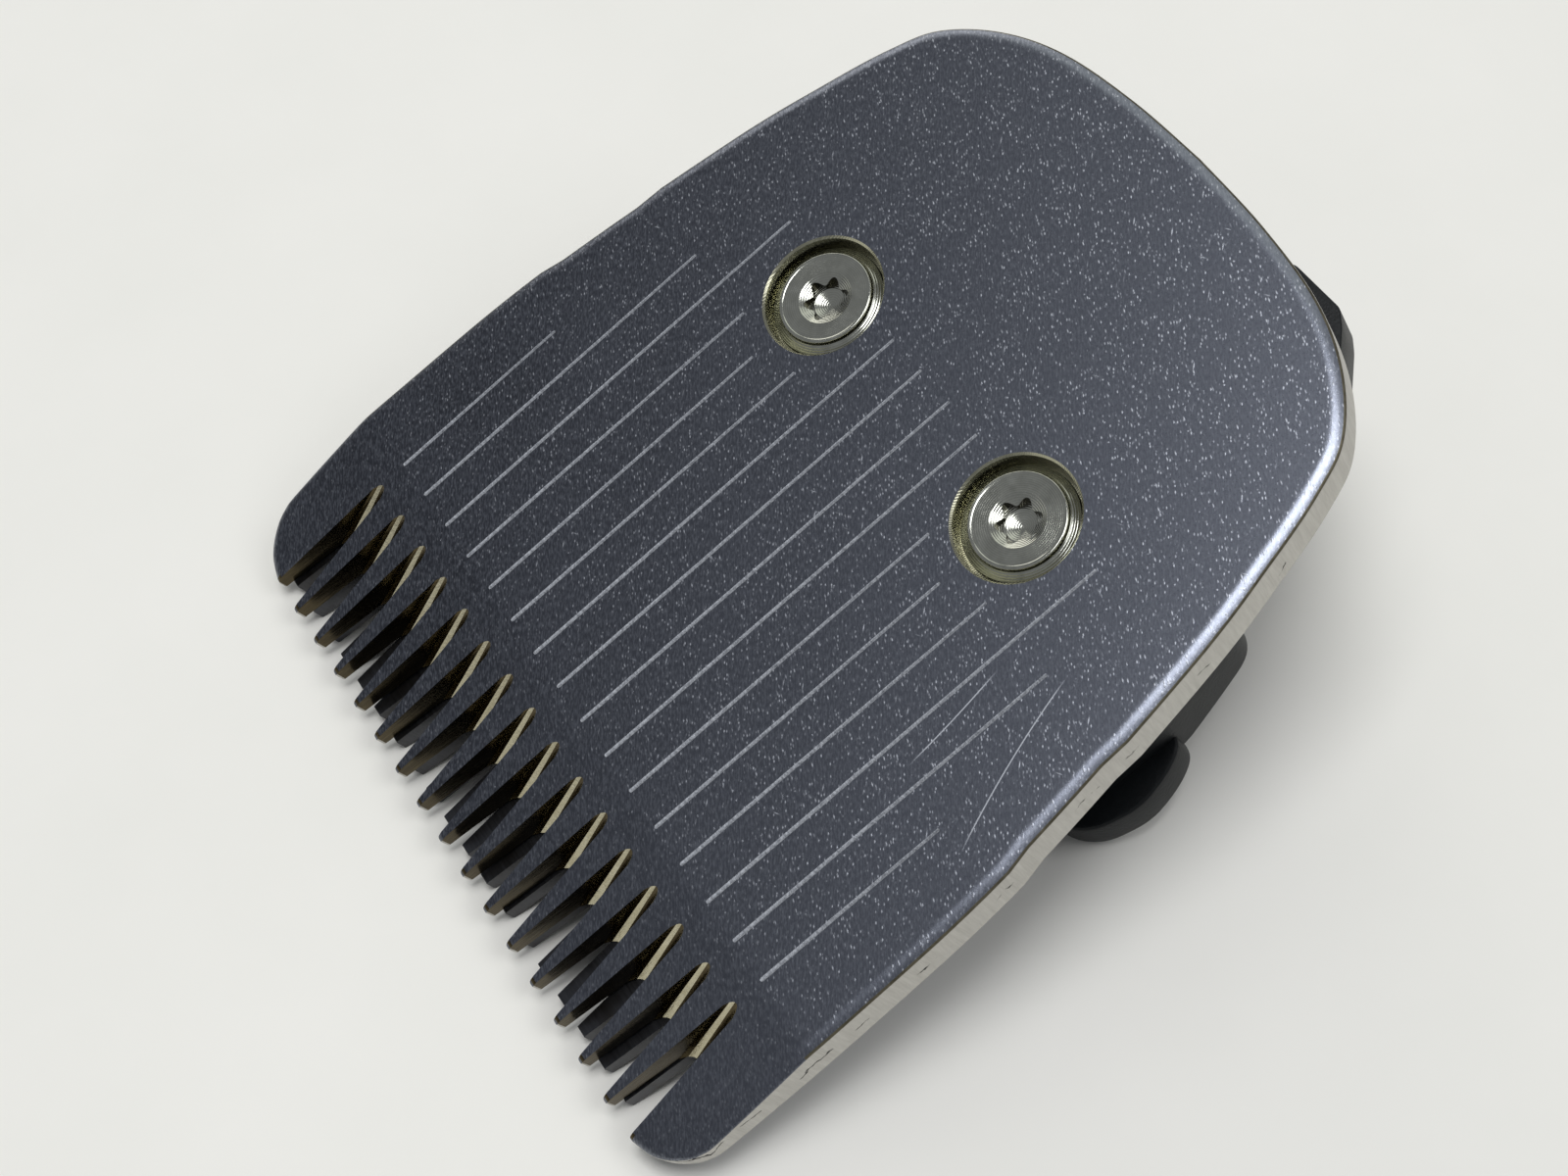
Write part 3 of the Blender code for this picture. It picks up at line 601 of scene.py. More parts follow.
def lapped_cutter_steel():
    """Cutter teeth in hardened steel: darker, with lengthwise grinding lines."""
    material, tree, where = head_material("lapped_cutter_steel", Metallic=1.0)
    drawn = add(tree, "Mapping", {"Vector": where, "Scale": (1 / 2.5, 1 / 0.12, 1.0)})
    lines = add(tree, "TexNoise", {"Vector": drawn, "Scale": 1.0, "Detail": 3.0, "Roughness": 0.6})
    tone_noise = add(tree, "TexNoise", {"Vector": where, "Scale": 1 / 2.0, "Detail": 3.0, "Roughness": 0.6})
    colour = add(tree, "Mix", {0: lines, 6: linear("3a3b3e"), 7: linear("5b5c60")}, 2, data_type="RGBA")
    oily = add(tree, "MapRange", {"Value": tone_noise, "From Min": 0.45, "From Max": 0.7, "To Max": 0.6})
    colour = add(tree, "Mix", {0: oily, 6: colour, 7: linear("35302a")}, 2, data_type="RGBA")
    rough = add(tree, "MapRange", {"Value": lines, "To Min": 0.24, "To Max": 0.42})
    normal = add(tree, "Bump", {"Height": lines, "Distance": 0.008 * MM})
    return feed(material, Base_Color=colour, Roughness=rough, Normal=normal)


def cloudy_metal(name, dark, light, size, low_rough, high_rough):
    """Spring wire and brass: handled metal whose tone and gloss drift from place to place."""
    material, tree, where = head_material(name, Metallic=1.0)
    cloud = add(tree, "TexNoise", {"Vector": where, "Scale": 1 / size, "Detail": 4.0, "Roughness": 0.6})
    colour = add(tree, "Mix", {0: cloud, 6: linear(dark), 7: linear(light)}, 2, data_type="RGBA")
    rough = add(tree, "MapRange", {"Value": cloud, "To Min": low_rough, "To Max": high_rough})
    return feed(material, Base_Color=colour, Roughness=rough)


def moulded_plastic(name, dark, light, texture_depth):
    """Glass-filled nylon: spark-eroded texture, rubbed a little smoother and paler in places."""
    material, tree, where = head_material(name, IOR=1.5, Specular_IOR_Level=0.22)
    grain = add(tree, "TexNoise", {"Vector": where, "Scale": 1 / 0.14, "Detail": 3.0, "Roughness": 0.6})
    cloud = add(tree, "TexNoise", {"Vector": where, "Scale": 1 / 4.0, "Detail": 3.0, "Roughness": 0.6})
    colour = add(tree, "Mix", {0: cloud, 6: linear(dark), 7: linear(light)}, 2, data_type="RGBA")
    dust = cell_marks(tree, where, 0.8, 0.1, 0.5)
    colour = add(tree, "Mix", {0: dust, 6: colour, 7: linear("55585a")}, 2, data_type="RGBA")
    rough = add(tree, "MapRange", {"Value": cloud, "To Min": 0.36, "To Max": 0.56})
    normal = add(tree, "Bump", {"Height": grain, "Distance": texture_depth * MM})
    return feed(material, Base_Color=colour, Roughness=rough, Normal=normal)


def table_surface():
    """Matt white laminate with the faintest mottling."""
    material, tree = new_material("table_surface", IOR=1.45)
    place = add(tree, "TexCoord", {}, "Object")
    cloud = add(tree, "TexNoise", {"Vector": place, "Scale": 1 / (17 * MM), "Detail": 4.0, "Roughness": 0.6})
    colour = add(tree, "Mix", {0: cloud, 6: linear("ecebe3"), 7: linear("f5f3ec")}, 2, data_type="RGBA")
    rough = add(tree, "MapRange", {"Value": cloud, "To Min": 0.55, "To Max": 0.7})
    return feed(material, Base_Color=colour, Roughness=rough)


# ---- guard plate


def plate_outline():
    """The plate seen from the front, with a shallow flat in each side."""
    half = smooth_line(PLATE_HALF_OUTLINE, OUTLINE_STEPS)
    low, high = SIDE_FLAT_Y
    ease = 0.8
    for point in half:
        inset = SIDE_FLAT_DEPTH * blend_share(point.y, low, low + ease)
        point.x -= inset * blend_share(-point.y, -high, ease - high)
    return mirrored(half + [(GAP_PITCH * 7.0, TOOTH_TIP_Y)])


def rim_profile(width, drop):
    """(distance in from the edge, height) of the plate's edge, from the underside up to the flat face."""
    profile = [(BURR_RADIUS, -PLATE_THICK), (0.0, -PLATE_THICK + BURR_RADIUS)]
    slope = math.atan2(2 * drop, width)
    low_in = EDGE_RADIUS * (1 - math.sin(slope))
    low_z = -drop
    arc_z = low_z - EDGE_RADIUS * math.cos(slope)
    steps = 5
    for i in range(steps + 1):
        angle = (math.pi / 2 - slope) * i / steps
        profile.append((EDGE_RADIUS * (1 - math.cos(angle)), arc_z + EDGE_RADIUS * math.sin(angle)))
    soft = 9
    for i in range(1, soft + 1):
        along = i / soft
        profile.append((low_in + width * along, -drop * (1 - along) ** 2))
    profile.append((low_in + width + 0.12, 0.0))
    return profile


def blend_share(value, low, high):
    """How far the value is from low to high, eased at both ends."""
    share = min(max((value - low) / (high - low), 0.0), 1.0)
    return share * share * (3 - 2 * share)


def bevel_drop(y):
    """How far the front face has fallen at y, with a soft bend where the bevel starts."""
    slope = BEVEL_DROP / (BEVEL_START_Y - TOOTH_TIP_Y)
    ahead = BEVEL_START_Y - y
    if ahead <= -BEVEL_BLEND:
        return 0.0
    if ahead >= BEVEL_BLEND:
        return slope * ahead
    return slope * (ahead + BEVEL_BLEND) ** 2 / (4 * BEVEL_BLEND)


def plate_blank():
    """The blanked and bevelled plate, before its teeth, seats and lines are cut."""
    outline = plate_outline()
    away = outward(outline)
    wide = rim_profile(ROLL_WIDTH, ROLL_DROP)
    tight = rim_profile(FRONT_ROLL_WIDTH, FRONT_ROLL_DROP)
    sections = []
    for (wide_in, wide_z), (tight_in, tight_z) in zip(wide, tight):
        section = []
        for point, direction in zip(outline, away):
            share = blend_share(point.y, *ROLL_WIDENS_Y)
            inset = tight_in + (wide_in - tight_in) * share
            z = tight_z + (wide_z - tight_z) * share
            place = point - direction * inset
            section.append(Vector((place.x, place.y, z)))
        sections.append(section)
    bm = loft(bmesh.new(), sections)
    bends = 6
    first = BEVEL_START_Y + BEVEL_BLEND + 0.3
    cuts = [first] + [BEVEL_START_Y + BEVEL_BLEND * (1 - 2 * i / bends) for i in range(bends + 1)]
    cuts.append(BEVEL_START_Y - BEVEL_BLEND - 0.3)
    for y in cuts:
        geometry = bm.verts[:] + bm.edges[:] + bm.faces[:]
        bmesh.ops.bisect_plane(bm, geom=geometry, plane_co=(0, y, 0), plane_no=(0, 1, 0), dist=1e-4)
    for vert in bm.verts:
        if vert.co.z > -PLATE_THICK + 2 * BURR_RADIUS:
            vert.co.z -= bevel_drop(vert.co.y)
    return facing_out(bm)


def gap_half(y):
    """Half the width of a tooth gap at y."""
    flare = GAP_MOUTH_HALF - GAP_ROOT_HALF
    return GAP_ROOT_HALF + flare * (GAP_ROOT_Y - max(y, TOOTH_TIP_Y)) / (GAP_ROOT_Y - TOOTH_TIP_Y)


def gap_section(middle, y):
    """Across one tooth gap at y: upright walls on a rounded floor."""
    half = gap_half(y)
    tip_round = (GAP_PITCH / 2 - GAP_MOUTH_HALF) * 0.9
    into_tip = tip_round - (y - TOOTH_TIP_Y)
    if into_tip > 0:
        half += tip_round - math.sqrt(max(tip_round**2 - min(into_tip, tip_round) ** 2, 0.0))
    fall = (PLATE_THICK + GAP_FLOOR_ROUND * 0.3) / (GAP_ROOT_Y - GAP_FLOOR_END_Y)
    floor = (y - GAP_ROOT_Y) * fall
    radius = half * GAP_FLOOR_ROUND
    section = [Vector((middle - half, y, 1.0))]
    across = 8
    for i in range(across + 1):
        offset = half * (2 * i / across - 1)
        section.append(Vector((middle + offset, y, floor + radius - math.sqrt(radius**2 - offset**2))))
    section.append(Vector((middle + half, y, 1.0)))
    return section


def tooth_gaps():
    bm = bmesh.new()
    stations = [GAP_ROOT_Y + 0.4, GAP_ROOT_Y - 1.0, GAP_ROOT_Y - 2.6, GAP_ROOT_Y - 5.0]
    stations += [TOOTH_TIP_Y + 0.14 - 0.14 * i / 5 for i in range(6)] + [TOOTH_TIP_Y - 0.6]
    for index in range(GAP_COUNT):
        middle = (index - (GAP_COUNT - 1) / 2) * GAP_PITCH
        loft(bm, [gap_section(middle, y) for y in stations])
    return facing_out(bm)


def guide_lines():
    """Sixteen long grooves with round ends, engraved rearward from the bevel."""
    bm = bmesh.new()
    lie = Matrix.Rotation(math.pi / 2, 4, "X")
    height = math.sqrt(LINE_RADIUS**2 - LINE_HALF**2)
    for index, end in enumerate(LINE_ENDS_Y):
        x = (index - (GAP_COUNT - 1) / 2) * GAP_PITCH
        ball = bmesh.ops.create_uvsphere(bm, u_segments=32, v_segments=12, radius=LINE_RADIUS, matrix=lie)
        for vert in ball["verts"]:
            if vert.co.y > 1e-4:
                vert.co.y += end
            vert.co += Vector((x, 0.0, height))
    return bm


def screw_seat(x):
    """A tool that cuts the counterbore, its chamfer and the clear hole."""
    profile = [
        (0.0, 1.0), (SEAT_RADIUS + SEAT_CHAMFER + 1.0, 1.0), (SEAT_RADIUS + SEAT_CHAMFER, 0.0),
        (SEAT_RADIUS, -SEAT_CHAMFER), (SEAT_RADIUS, -SEAT_DEPTH), (CLEAR_HOLE_RADIUS, -SEAT_DEPTH),
        (CLEAR_HOLE_RADIUS, -PLATE_THICK - 1.0), (0.0, -PLATE_THICK - 1.0),
    ]
    return turned(profile, x, SCREW_Y, 96)


def column_of(x):
    """Which gap or guide line is nearest to x, and how far off its middle x is."""
    column = x / GAP_PITCH + (GAP_COUNT - 1) / 2
    nearest = min(max(round(column), 0), GAP_COUNT - 1)
    return nearest, (column - nearest) * GAP_PITCH


def in_gap(centre):
    return centre.y < GAP_ROOT_Y + 0.5 and abs(column_of(centre.x)[1]) < GAP_PITCH / 2


def in_guide_line(centre):
    column, off = column_of(centre.x)
    along = -LINE_HALF < centre.y < LINE_ENDS_Y[column] + LINE_HALF
    return along and abs(off) < LINE_HALF and centre.z < -0.001


def plate_finish(face):
    """Which of the plate's materials a face has."""
    centre = face.calc_center_median()
    for side in (-1, 1):
        if (centre.xy - Vector((side * SCREW_X, SCREW_Y))).length < SEAT_RADIUS + SEAT_CHAMFER * 0.8:
            return SEAT if centre.z < -0.01 else FACE
    if centre.z < -PLATE_THICK + BURR_RADIUS:
        return FACE
    if in_gap(centre) and centre.y > TOOTH_TIP_Y + 0.16:
        if centre.z > -bevel_drop(centre.y) - 0.01:
            return FACE
        across = column_of(centre.x)[1] / gap_half(centre.y)
        # Two strips across each gap's floor take a pale painted highlight, and the rest of the gap a brown
        # painted reflection.
        painted_highlight_strip = -0.72 < across < -0.28 or 0.55 < across < 0.95
        return PAINTED_GAP_HIGHLIGHT if painted_highlight_strip and abs(face.normal.x) < 0.9 else PAINTED_GAP_REFLECTION
    if abs(face.normal.z) < 0.45:
        return SHEARED
    # The rounded top edge takes a dull olive painted reflection.
    if face.normal.z < 0.9 and centre.z > -PLATE_THICK / 2 and centre.y > BEVEL_START_Y:
        return PAINTED_EDGE_REFLECTION
    return SCRIBED if in_guide_line(centre) else FACE


def guard_plate():
    plate = plate_blank()
    plate = carve(plate, tooth_gaps())
    plate = carve(plate, merged(screw_seat(-SCREW_X), screw_seat(SCREW_X)))
    plate = carve(plate, guide_lines())
    materials = [
        polished_blade_steel(), sheared_steel(), scribed_steel(),
        # The gap walls carry a brown painted reflection, and the strips on the gap floors a pale painted
        # highlight.
        ground_gap_steel("painted_reflection_gap_wall_steel", "3b3324", "5f553e", "75694c"),
        turned_steel("turned_seat_steel", "8b8a75", "c4c2ab", 0.16, 0.28),
        ground_gap_steel("painted_highlight_gap_floor_steel", "a39a7c", "d3cdb4", "e2ddc8"), painted_dark_edge_steel(),
    ]
    finish("guard_plate", plate, materials, "head", choose=plate_finish)


# ---- screws and inserts


def screw_profile():
    """Half the outline of a screw with its support ring, from the middle of the head to the point."""
    seat = -SEAT_DEPTH + FIT
    face_z = HEAD_TOP - 0.03
    edge = 0.09
    profile = [
        (0.0, face_z), (HEAD_RADIUS - 0.38, face_z), (HEAD_RADIUS - 0.32, face_z),
        (HEAD_RADIUS - 0.26, HEAD_TOP),
    ]
    for i in range(5):
        angle = math.pi / 2 * i / 4
        x = HEAD_RADIUS - 0.12 - edge + edge * math.sin(angle)
        profile.append((x, HEAD_TOP - edge + edge * math.cos(angle)))
    profile += [
        (HEAD_RADIUS - 0.1, HEAD_TOP - 0.26), (HEAD_RADIUS + 0.3, HEAD_TOP - 0.5),
        (HEAD_RADIUS + 0.34, HEAD_TOP - 0.6), (HEAD_RADIUS + 0.3, seat), (SHANK_RADIUS, seat),
    ]
    turns = int((seat - 1.6 - SCREW_TIP_Z - 0.5) / THREAD_PITCH)
    for i in range(turns):
        top = seat - 1.6 - i * THREAD_PITCH
        profile += [(SHANK_RADIUS, top), (SHANK_RADIUS - THREAD_DEPTH, top - THREAD_PITCH / 2)]
    profile += [(SHANK_RADIUS - 0.1, SCREW_TIP_Z + 0.5), (SHANK_RADIUS - 0.45, SCREW_TIP_Z)]
    return profile + [(0.0, SCREW_TIP_Z)]


def screw_socket(x):
    """The six-lobed hole in a screw's head."""
    outline = []
    for i in range(SOCKET_STEPS):
        angle = math.tau * i / SOCKET_STEPS
        radius = SOCKET_RADIUS + SOCKET_LOBE * math.cos(SOCKET_LOBES * angle)
        outline.append((x + radius * math.cos(angle), SCREW_Y + radius * math.sin(angle)))
    return slab(outline, HEAD_TOP - SOCKET_RIM, HEAD_TOP + 0.3)


def screw_pit(x):
    """The shallow drill point at the bottom of the socket."""
    radius = SOCKET_RADIUS - SOCKET_LOBE - 0.01
    low_z = HEAD_TOP - SOCKET_RIM - 0.02
    profile = [(0.0, HEAD_TOP), (radius, HEAD_TOP), (radius, low_z), (0.0, HEAD_TOP - SOCKET_DEPTH)]
    return turned(profile, x, SCREW_Y, SOCKET_STEPS)


def screw_cone(x):
    """The conical lead-in of the socket."""
    low_z = HEAD_TOP - SOCKET_CONE_DEPTH
    profile = [
        (0.0, HEAD_TOP + 0.3), (SOCKET_CONE_RADIUS + 0.3, HEAD_TOP + 0.27),
        (SOCKET_CONE_RADIUS, HEAD_TOP - 0.03), (0.62, low_z), (0.0, low_z - 0.05),
    ]
    return turned(profile, x, SCREW_Y, SOCKET_STEPS)


def socket_finish(face):
    centre = face.calc_center_median()
    off = centre.xy - Vector((math.copysign(SCREW_X, centre.x), SCREW_Y))
    inside = off.length < SOCKET_RADIUS + SOCKET_LOBE and HEAD_TOP - 0.06 > centre.z > HEAD_TOP - SOCKET_DEPTH
    # Upright faces inside the socket take the second material, which is painted shade.
    return 1 if inside and abs(face.normal.z) < 0.3 else 0


def screws():
    # A near-black colour for the socket's walls: painted shade deep in the socket.
    dark = turned_steel("painted_shade_socket_steel", "26251d", "45432f", 0.2, 0.3)
    for name, side in (("screw_left", -1), ("screw_right", 1)):
        x = side * SCREW_X
        screw = turned(screw_profile(), x, SCREW_Y, 96)
        screw = carve(screw, screw_cone(x))
        screw = carve(screw, screw_socket(x))
        screw = carve(screw, screw_pit(x))
        material = turned_steel(f"nickel_plated_{name}", "93948a", "bfc0b6", 0.10, 0.22, x)
        finish(name, screw, [material, dark], "head", choose=socket_finish)


def inserts():
    material = cloudy_metal("insert_brass", "9a7a3c", "d6b76a", 0.7, 0.26, 0.46)
    rim = 0.15
    low_z, high_z = INSERT_WAIST_Z
    waist = INSERT_RADIUS - 0.25
    profile = [
        (INSERT_BORE, INSERT_TOP_Z - rim), (INSERT_BORE + rim, INSERT_TOP_Z),
        (INSERT_RADIUS - rim, INSERT_TOP_Z), (INSERT_RADIUS, INSERT_TOP_Z - rim),
        (INSERT_RADIUS, high_z + 0.3), (waist, high_z), (waist, low_z), (INSERT_RADIUS, low_z - 0.3),
        (INSERT_RADIUS, INSERT_BOTTOM_Z + rim), (INSERT_RADIUS - rim, INSERT_BOTTOM_Z),
        (INSERT_BORE + rim, INSERT_BOTTOM_Z), (INSERT_BORE, INSERT_BOTTOM_Z + rim),
        (INSERT_BORE, INSERT_TOP_Z - rim),
    ]
    for name, side in (("insert_left", -1), ("insert_right", 1)):
        middle = Vector((side * SCREW_X, SCREW_Y))
        insert = turned(profile, middle.x, middle.y, KNURLS * 2)
        for vert in insert.verts:
            out = vert.co.xy - middle
            turn = math.atan2(out.y, out.x)
            groove = round(turn / math.tau * KNURLS * 2) % 2
            if groove and out.length > INSERT_RADIUS - 0.05:
                vert.co.xy = middle + out * (1 - 0.08 / INSERT_RADIUS)
        finish(name, insert, [material], "head")


# ---- cutter and rivets


def cutter_gap(middle):
    """One gap between cutter teeth, from its round root to past the tips, as sections to loft."""
    root_half, tip_half = CUTTER_PITCH / 2 - CUTTER_ROOT_HALF, CUTTER_PITCH / 2 - CUTTER_TIP_HALF
    stations = []
    for i in range(5):
        angle = math.pi / 2 * (1 - i / 5)
        stations.append((root_half * math.cos(angle) + 0.01, CUTTER_ROOT_Y + root_half * math.sin(angle)))
    for y in (CUTTER_ROOT_Y, CUTTER_TIP_Y - 0.5):
        share = (CUTTER_ROOT_Y - y) / (CUTTER_ROOT_Y - CUTTER_TIP_Y)
        stations.append((root_half + (tip_half - root_half) * share, y))
    low_z, high_z = CUTTER_BOTTOM_Z - 0.5, CUTTER_TOP_Z + 0.5
    corners = ((-1, low_z), (1, low_z), (1, high_z), (-1, high_z))
    return [[Vector((middle + half * side, y, z)) for side, z in corners] for half, y in stations]


def moving_cutter():
    half = CUTTER_PITCH * CUTTER_TEETH / 2
    corner = 1.5
    outline = mirrored([
        (0.0, CUTTER_REAR_Y), (half - corner, CUTTER_REAR_Y), (half, CUTTER_REAR_Y - corner),
        (half, CUTTER_TIP_Y),
    ])
    outline = [(point.x + CUTTER_PARK_X, point.y) for point in outline]
    cutter = slab(outline, CUTTER_BOTTOM_Z, CUTTER_TOP_Z)
    edges = [edge for edge in cutter.edges if abs(edge.verts[0].co.z - edge.verts[1].co.z) < 0.01]
    bmesh.ops.bevel(
        cutter, geom=edges, offset=0.08, offset_type="OFFSET", affect="EDGES", segments=2, profile=0.5,
        material=-1,
    )
    gaps = bmesh.new()
    for index in range(CUTTER_TEETH + 1):
        loft(gaps, cutter_gap(CUTTER_PARK_X + (index - CUTTER_TEETH / 2) * CUTTER_PITCH))
    cutter = carve(cutter, facing_out(gaps))
    sink = RIVET_HEAD_RADIUS - RIVET_RADIUS
    hole = RIVET_RADIUS + FIT
    profile = [
        (0.0, CUTTER_TOP_Z + 1.0), (hole + sink + 1.0, CUTTER_TOP_Z + 1.0), (hole, CUTTER_TOP_Z - sink),
        (hole, CUTTER_BOTTOM_Z - 1.0), (0.0, CUTTER_BOTTOM_Z - 1.0),
    ]
    holes = [turned(profile, CUTTER_PARK_X + side * RIVET_X, RIVET_Y, 48) for side in (-1, 1)]
    cutter = carve(cutter, merged(*holes))
    finish("moving_cutter", cutter, [lapped_cutter_steel()], "cutter")


def rivets():
    material = turned_steel("headed_rivet_steel", "8c8c8a", "b7b7b4", 0.2, 0.34)
    top = CUTTER_TOP_Z - 0.05
    sink = RIVET_HEAD_RADIUS - RIVET_RADIUS
    seat = BRIDGE_FOOT_Z - FIT
    profile = [(0.0, top), (RIVET_HEAD_RADIUS, top), (RIVET_RADIUS, top - sink), (RIVET_RADIUS, seat)]
    profile.append((RIVET_HEAD_RADIUS, seat))
    steps = 8
    for i in range(steps + 1):
        angle = math.pi / 2 * i / steps
        profile.append((RIVET_HEAD_RADIUS * math.cos(angle), seat - 0.1 - 0.42 * math.sin(angle)))
    for name, side in (("cutter_rivet_left", -1), ("cutter_rivet_right", 1)):
        rivet = turned(profile, CUTTER_PARK_X + side * RIVET_X, RIVET_Y, 48)
        finish(name, rivet, [material], "cutter")


# ---- spring


def spring_half():
    """Tip, arm, coil and half the cross bar, on the left."""
    coil_low = COIL_Z - COIL_RADIUS
    arm = smooth_line([
        (-9.4, 3.4, SPRING_TIP_Z), (-10.7, 4.4, SPRING_TIP_Z), (-11.6, 6.6, SPRING_TIP_Z),
        (-ARM_X, 10.0, SPRING_TIP_Z - 0.1), (-ARM_X, 18.0, SPRING_TIP_Z - 0.45),
        (-ARM_X, COIL_Y - 1.2, coil_low + 0.02),
    ], 6)
    coil = []
    for index in range(COIL_TURNS * COIL_POINTS + 1):
        angle = math.tau * index / COIL_POINTS - math.pi / 2
        round_y, round_z = COIL_RADIUS * math.cos(angle), COIL_RADIUS * math.sin(angle)
        coil.append(Vector((-ARM_X + COIL_STEP * index / COIL_POINTS, COIL_Y + round_y, COIL_Z + round_z)))
    end_x = -ARM_X + COIL_STEP * COIL_TURNS
    rear = smooth_line([
        (end_x, COIL_Y + 1.3, coil_low + 0.2), (end_x, 30.0, SPRING_BAR_Z - 0.3), (-9.2, 31.3, SPRING_BAR_Z),
        (-7.6, 31.5, SPRING_BAR_Z), (0.0, 31.5, SPRING_BAR_Z),
    ], 6)
    return arm + coil + rear


def wire_mesh(path, radius, sides):
    """A round wire along a path, as a bmesh with closed ends."""
    curve = bpy.data.curves.new("wire", "CURVE")
    curve.dimensions = "3D"
    curve.bevel_depth = radius
    curve.bevel_resolution = sides
    curve.use_fill_caps = True
    spline = curve.splines.new("POLY")
    spline.points.add(len(path) - 1)
    for point, place in zip(spline.points, path):
        point.co = (*place, 1.0)
    holder = bpy.data.objects.new("wire", curve)
    bpy.context.scene.collection.objects.link(holder)
    bm = bmesh.new()
    mesh = bpy.data.meshes.new_from_object(holder.evaluated_get(bpy.context.evaluated_depsgraph_get()))
    bm.from_mesh(mesh)
    bpy.data.objects.remove(holder, do_unlink=True)
    bmesh.ops.remove_doubles(bm, verts=bm.verts, dist=1e-4)
    return facing_out(bm)


def pressure_spring():
    left = spring_half()
    path = left + [Vector((-point.x, point.y, point.z)) for point in reversed(left[:-1])]
    wire = wire_mesh(path, WIRE_RADIUS, 5)
    steel = cloudy_metal("drawn_spring_wire", "84868a", "b9bbbf", 0.5, 0.2, 0.36)
    finish("pressure_spring", wire, [steel], "head", sharp=50.0)


# ---- mouldings


def rectangle(low_x, high_x, low_y, high_y):
    """Listed clockwise, as every outline here."""
    return [Vector(pair) for pair in ((low_x, high_y), (high_x, high_y), (high_x, low_y), (low_x, low_y))]


def clockwise(outline):
    area = sum(a.x * b.y - b.x * a.y for a, b in zip(outline, outline[1:] + outline[:1]))
    return outline if area < 0 else outline[::-1]


def rounded(outline, radius, steps=5):
    """The outline with each corner replaced by a curve that starts up to a radius away from it."""
    outline = clockwise(outline)
    line = []
    for before, corner, after in zip(outline[-1:] + outline[:-1], outline, outline[1:] + outline[:1]):
        start = corner + (before - corner) * min(radius / (before - corner).length, 0.45)
        end = corner + (after - corner) * min(radius / (after - corner).length, 0.45)
        for i in range(steps + 1):
            t = i / steps
            line.append(start * (1 - t) ** 2 + corner * (2 * t * (1 - t)) + end * t**2)
    return line


def soft_slab(outline, low_z, high_z, corner=0.5, edge=0.15):
    """A flat moulding: rounded corners, and a small radius round its top and bottom."""
    outline = rounded(outline, corner)
    away = outward(outline)
    steps = 3
    levels = [(edge * (1 - math.sin(a)), low_z + edge * (1 - math.cos(a)))
              for a in (math.pi / 2 * i / steps for i in range(steps + 1))]
    levels += [(inset, high_z + low_z - z) for inset, z in reversed(levels)]
    sections = []
    for inset, z in levels:
        section = [point - direction * inset for point, direction in zip(outline, away)]
        sections.append([Vector((place.x, place.y, z)) for place in section])
    return facing_out(loft(bmesh.new(), sections))


def opening(sides, low_z, high_z, corner=0.6):
    """A tool that cuts a hole with rounded corners."""
    return slab(rounded(rectangle(*sides), corner), low_z, high_z)


def post(x, y, low_z, high_z, radius, chamfer=0.15):
    profile = [
        (0.0, high_z), (radius - chamfer, high_z), (radius, high_z - chamfer), (radius, low_z + chamfer),
        (radius - chamfer, low_z), (0.0, low_z),
    ]
    return turned(profile, x, y, 64)


def cross_post(low_x, high_x, y, z, radius):
    """A round bar along X."""
    bm = post(0.0, 0.0, low_x, high_x, radius)
    lay = Matrix.Translation((0.0, y, z)) @ Matrix.Rotation(math.pi / 2, 4, "Y")
    bmesh.ops.transform(bm, matrix=lay, verts=bm.verts)
    return bm


def carrier_frame(material):
    outline = mirrored(CARRIER_HALF_OUTLINE)
    frame = soft_slab(outline, CARRIER_BOTTOM_Z, CARRIER_TOP_Z, 1.6, 0.18)
    pocket = rounded(mirrored(CARRIER_POCKET_OUTLINE), 1.2)
    frame = carve(frame, slab(pocket, CARRIER_BOTTOM_Z - 1.0, CARRIER_PANEL_Z))
    through = (CARRIER_BOTTOM_Z - 1.5, CARRIER_TOP_Z + 1.0)
    low_x, high_x, low_y, high_y = COIL_OPENING
    for sides in (CARRIER_WINDOW, COIL_OPENING, (-high_x, -low_x, low_y, high_y)):
        frame = carve(frame, opening(sides, *through))
    for side in (-1, 1):
        frame = carve(frame, post(side * SCREW_X, SCREW_Y, *through, CLEAR_HOLE_RADIUS))
    finish("carrier_frame", frame, [material], "head")


def base_side(base, side):
    """Boss, wing, hook, spring ear, peg and rib on one side of the coupling base."""
    def across(low, high):
        return sorted((side * low, side * high))

    wing = [Vector((side * x, y)) for x, y in WING_OUTLINE]
    hook = [Vector((side * x, y)) for x, y in HOOK_OUTLINE]
    ear_y = (COIL_Y - EAR_HALF, COIL_Y + EAR_HALF)
    added = [
        post(side * SCREW_X, SCREW_Y, BOSS_BOTTOM_Z, BOSS_TOP_Z, BOSS_RADIUS, 0.2),
        soft_slab(wing, WING_BOTTOM_Z, BASE_TOP_Z - 0.2, 0.9, 0.2),
        soft_slab(hook, HOOK_BOTTOM_Z, HOOK_TOP_Z, 0.9, 0.25),
        soft_slab(rectangle(*across(*EAR_X), *ear_y), BASE_BOTTOM_Z + 0.5, EAR_TOP_Z, 0.2, 0.1),
        soft_slab(rectangle(*across(*RIB_X), *RIB_Y), RIB_BOTTOM_Z, HANG_Z, 0.4, 0.15),
        cross_post(*across(*PEG_X), COIL_Y, COIL_Z, PEG_RADIUS),
    ]
    for part in added:
        base = carve(base, part, "UNION")
    return base


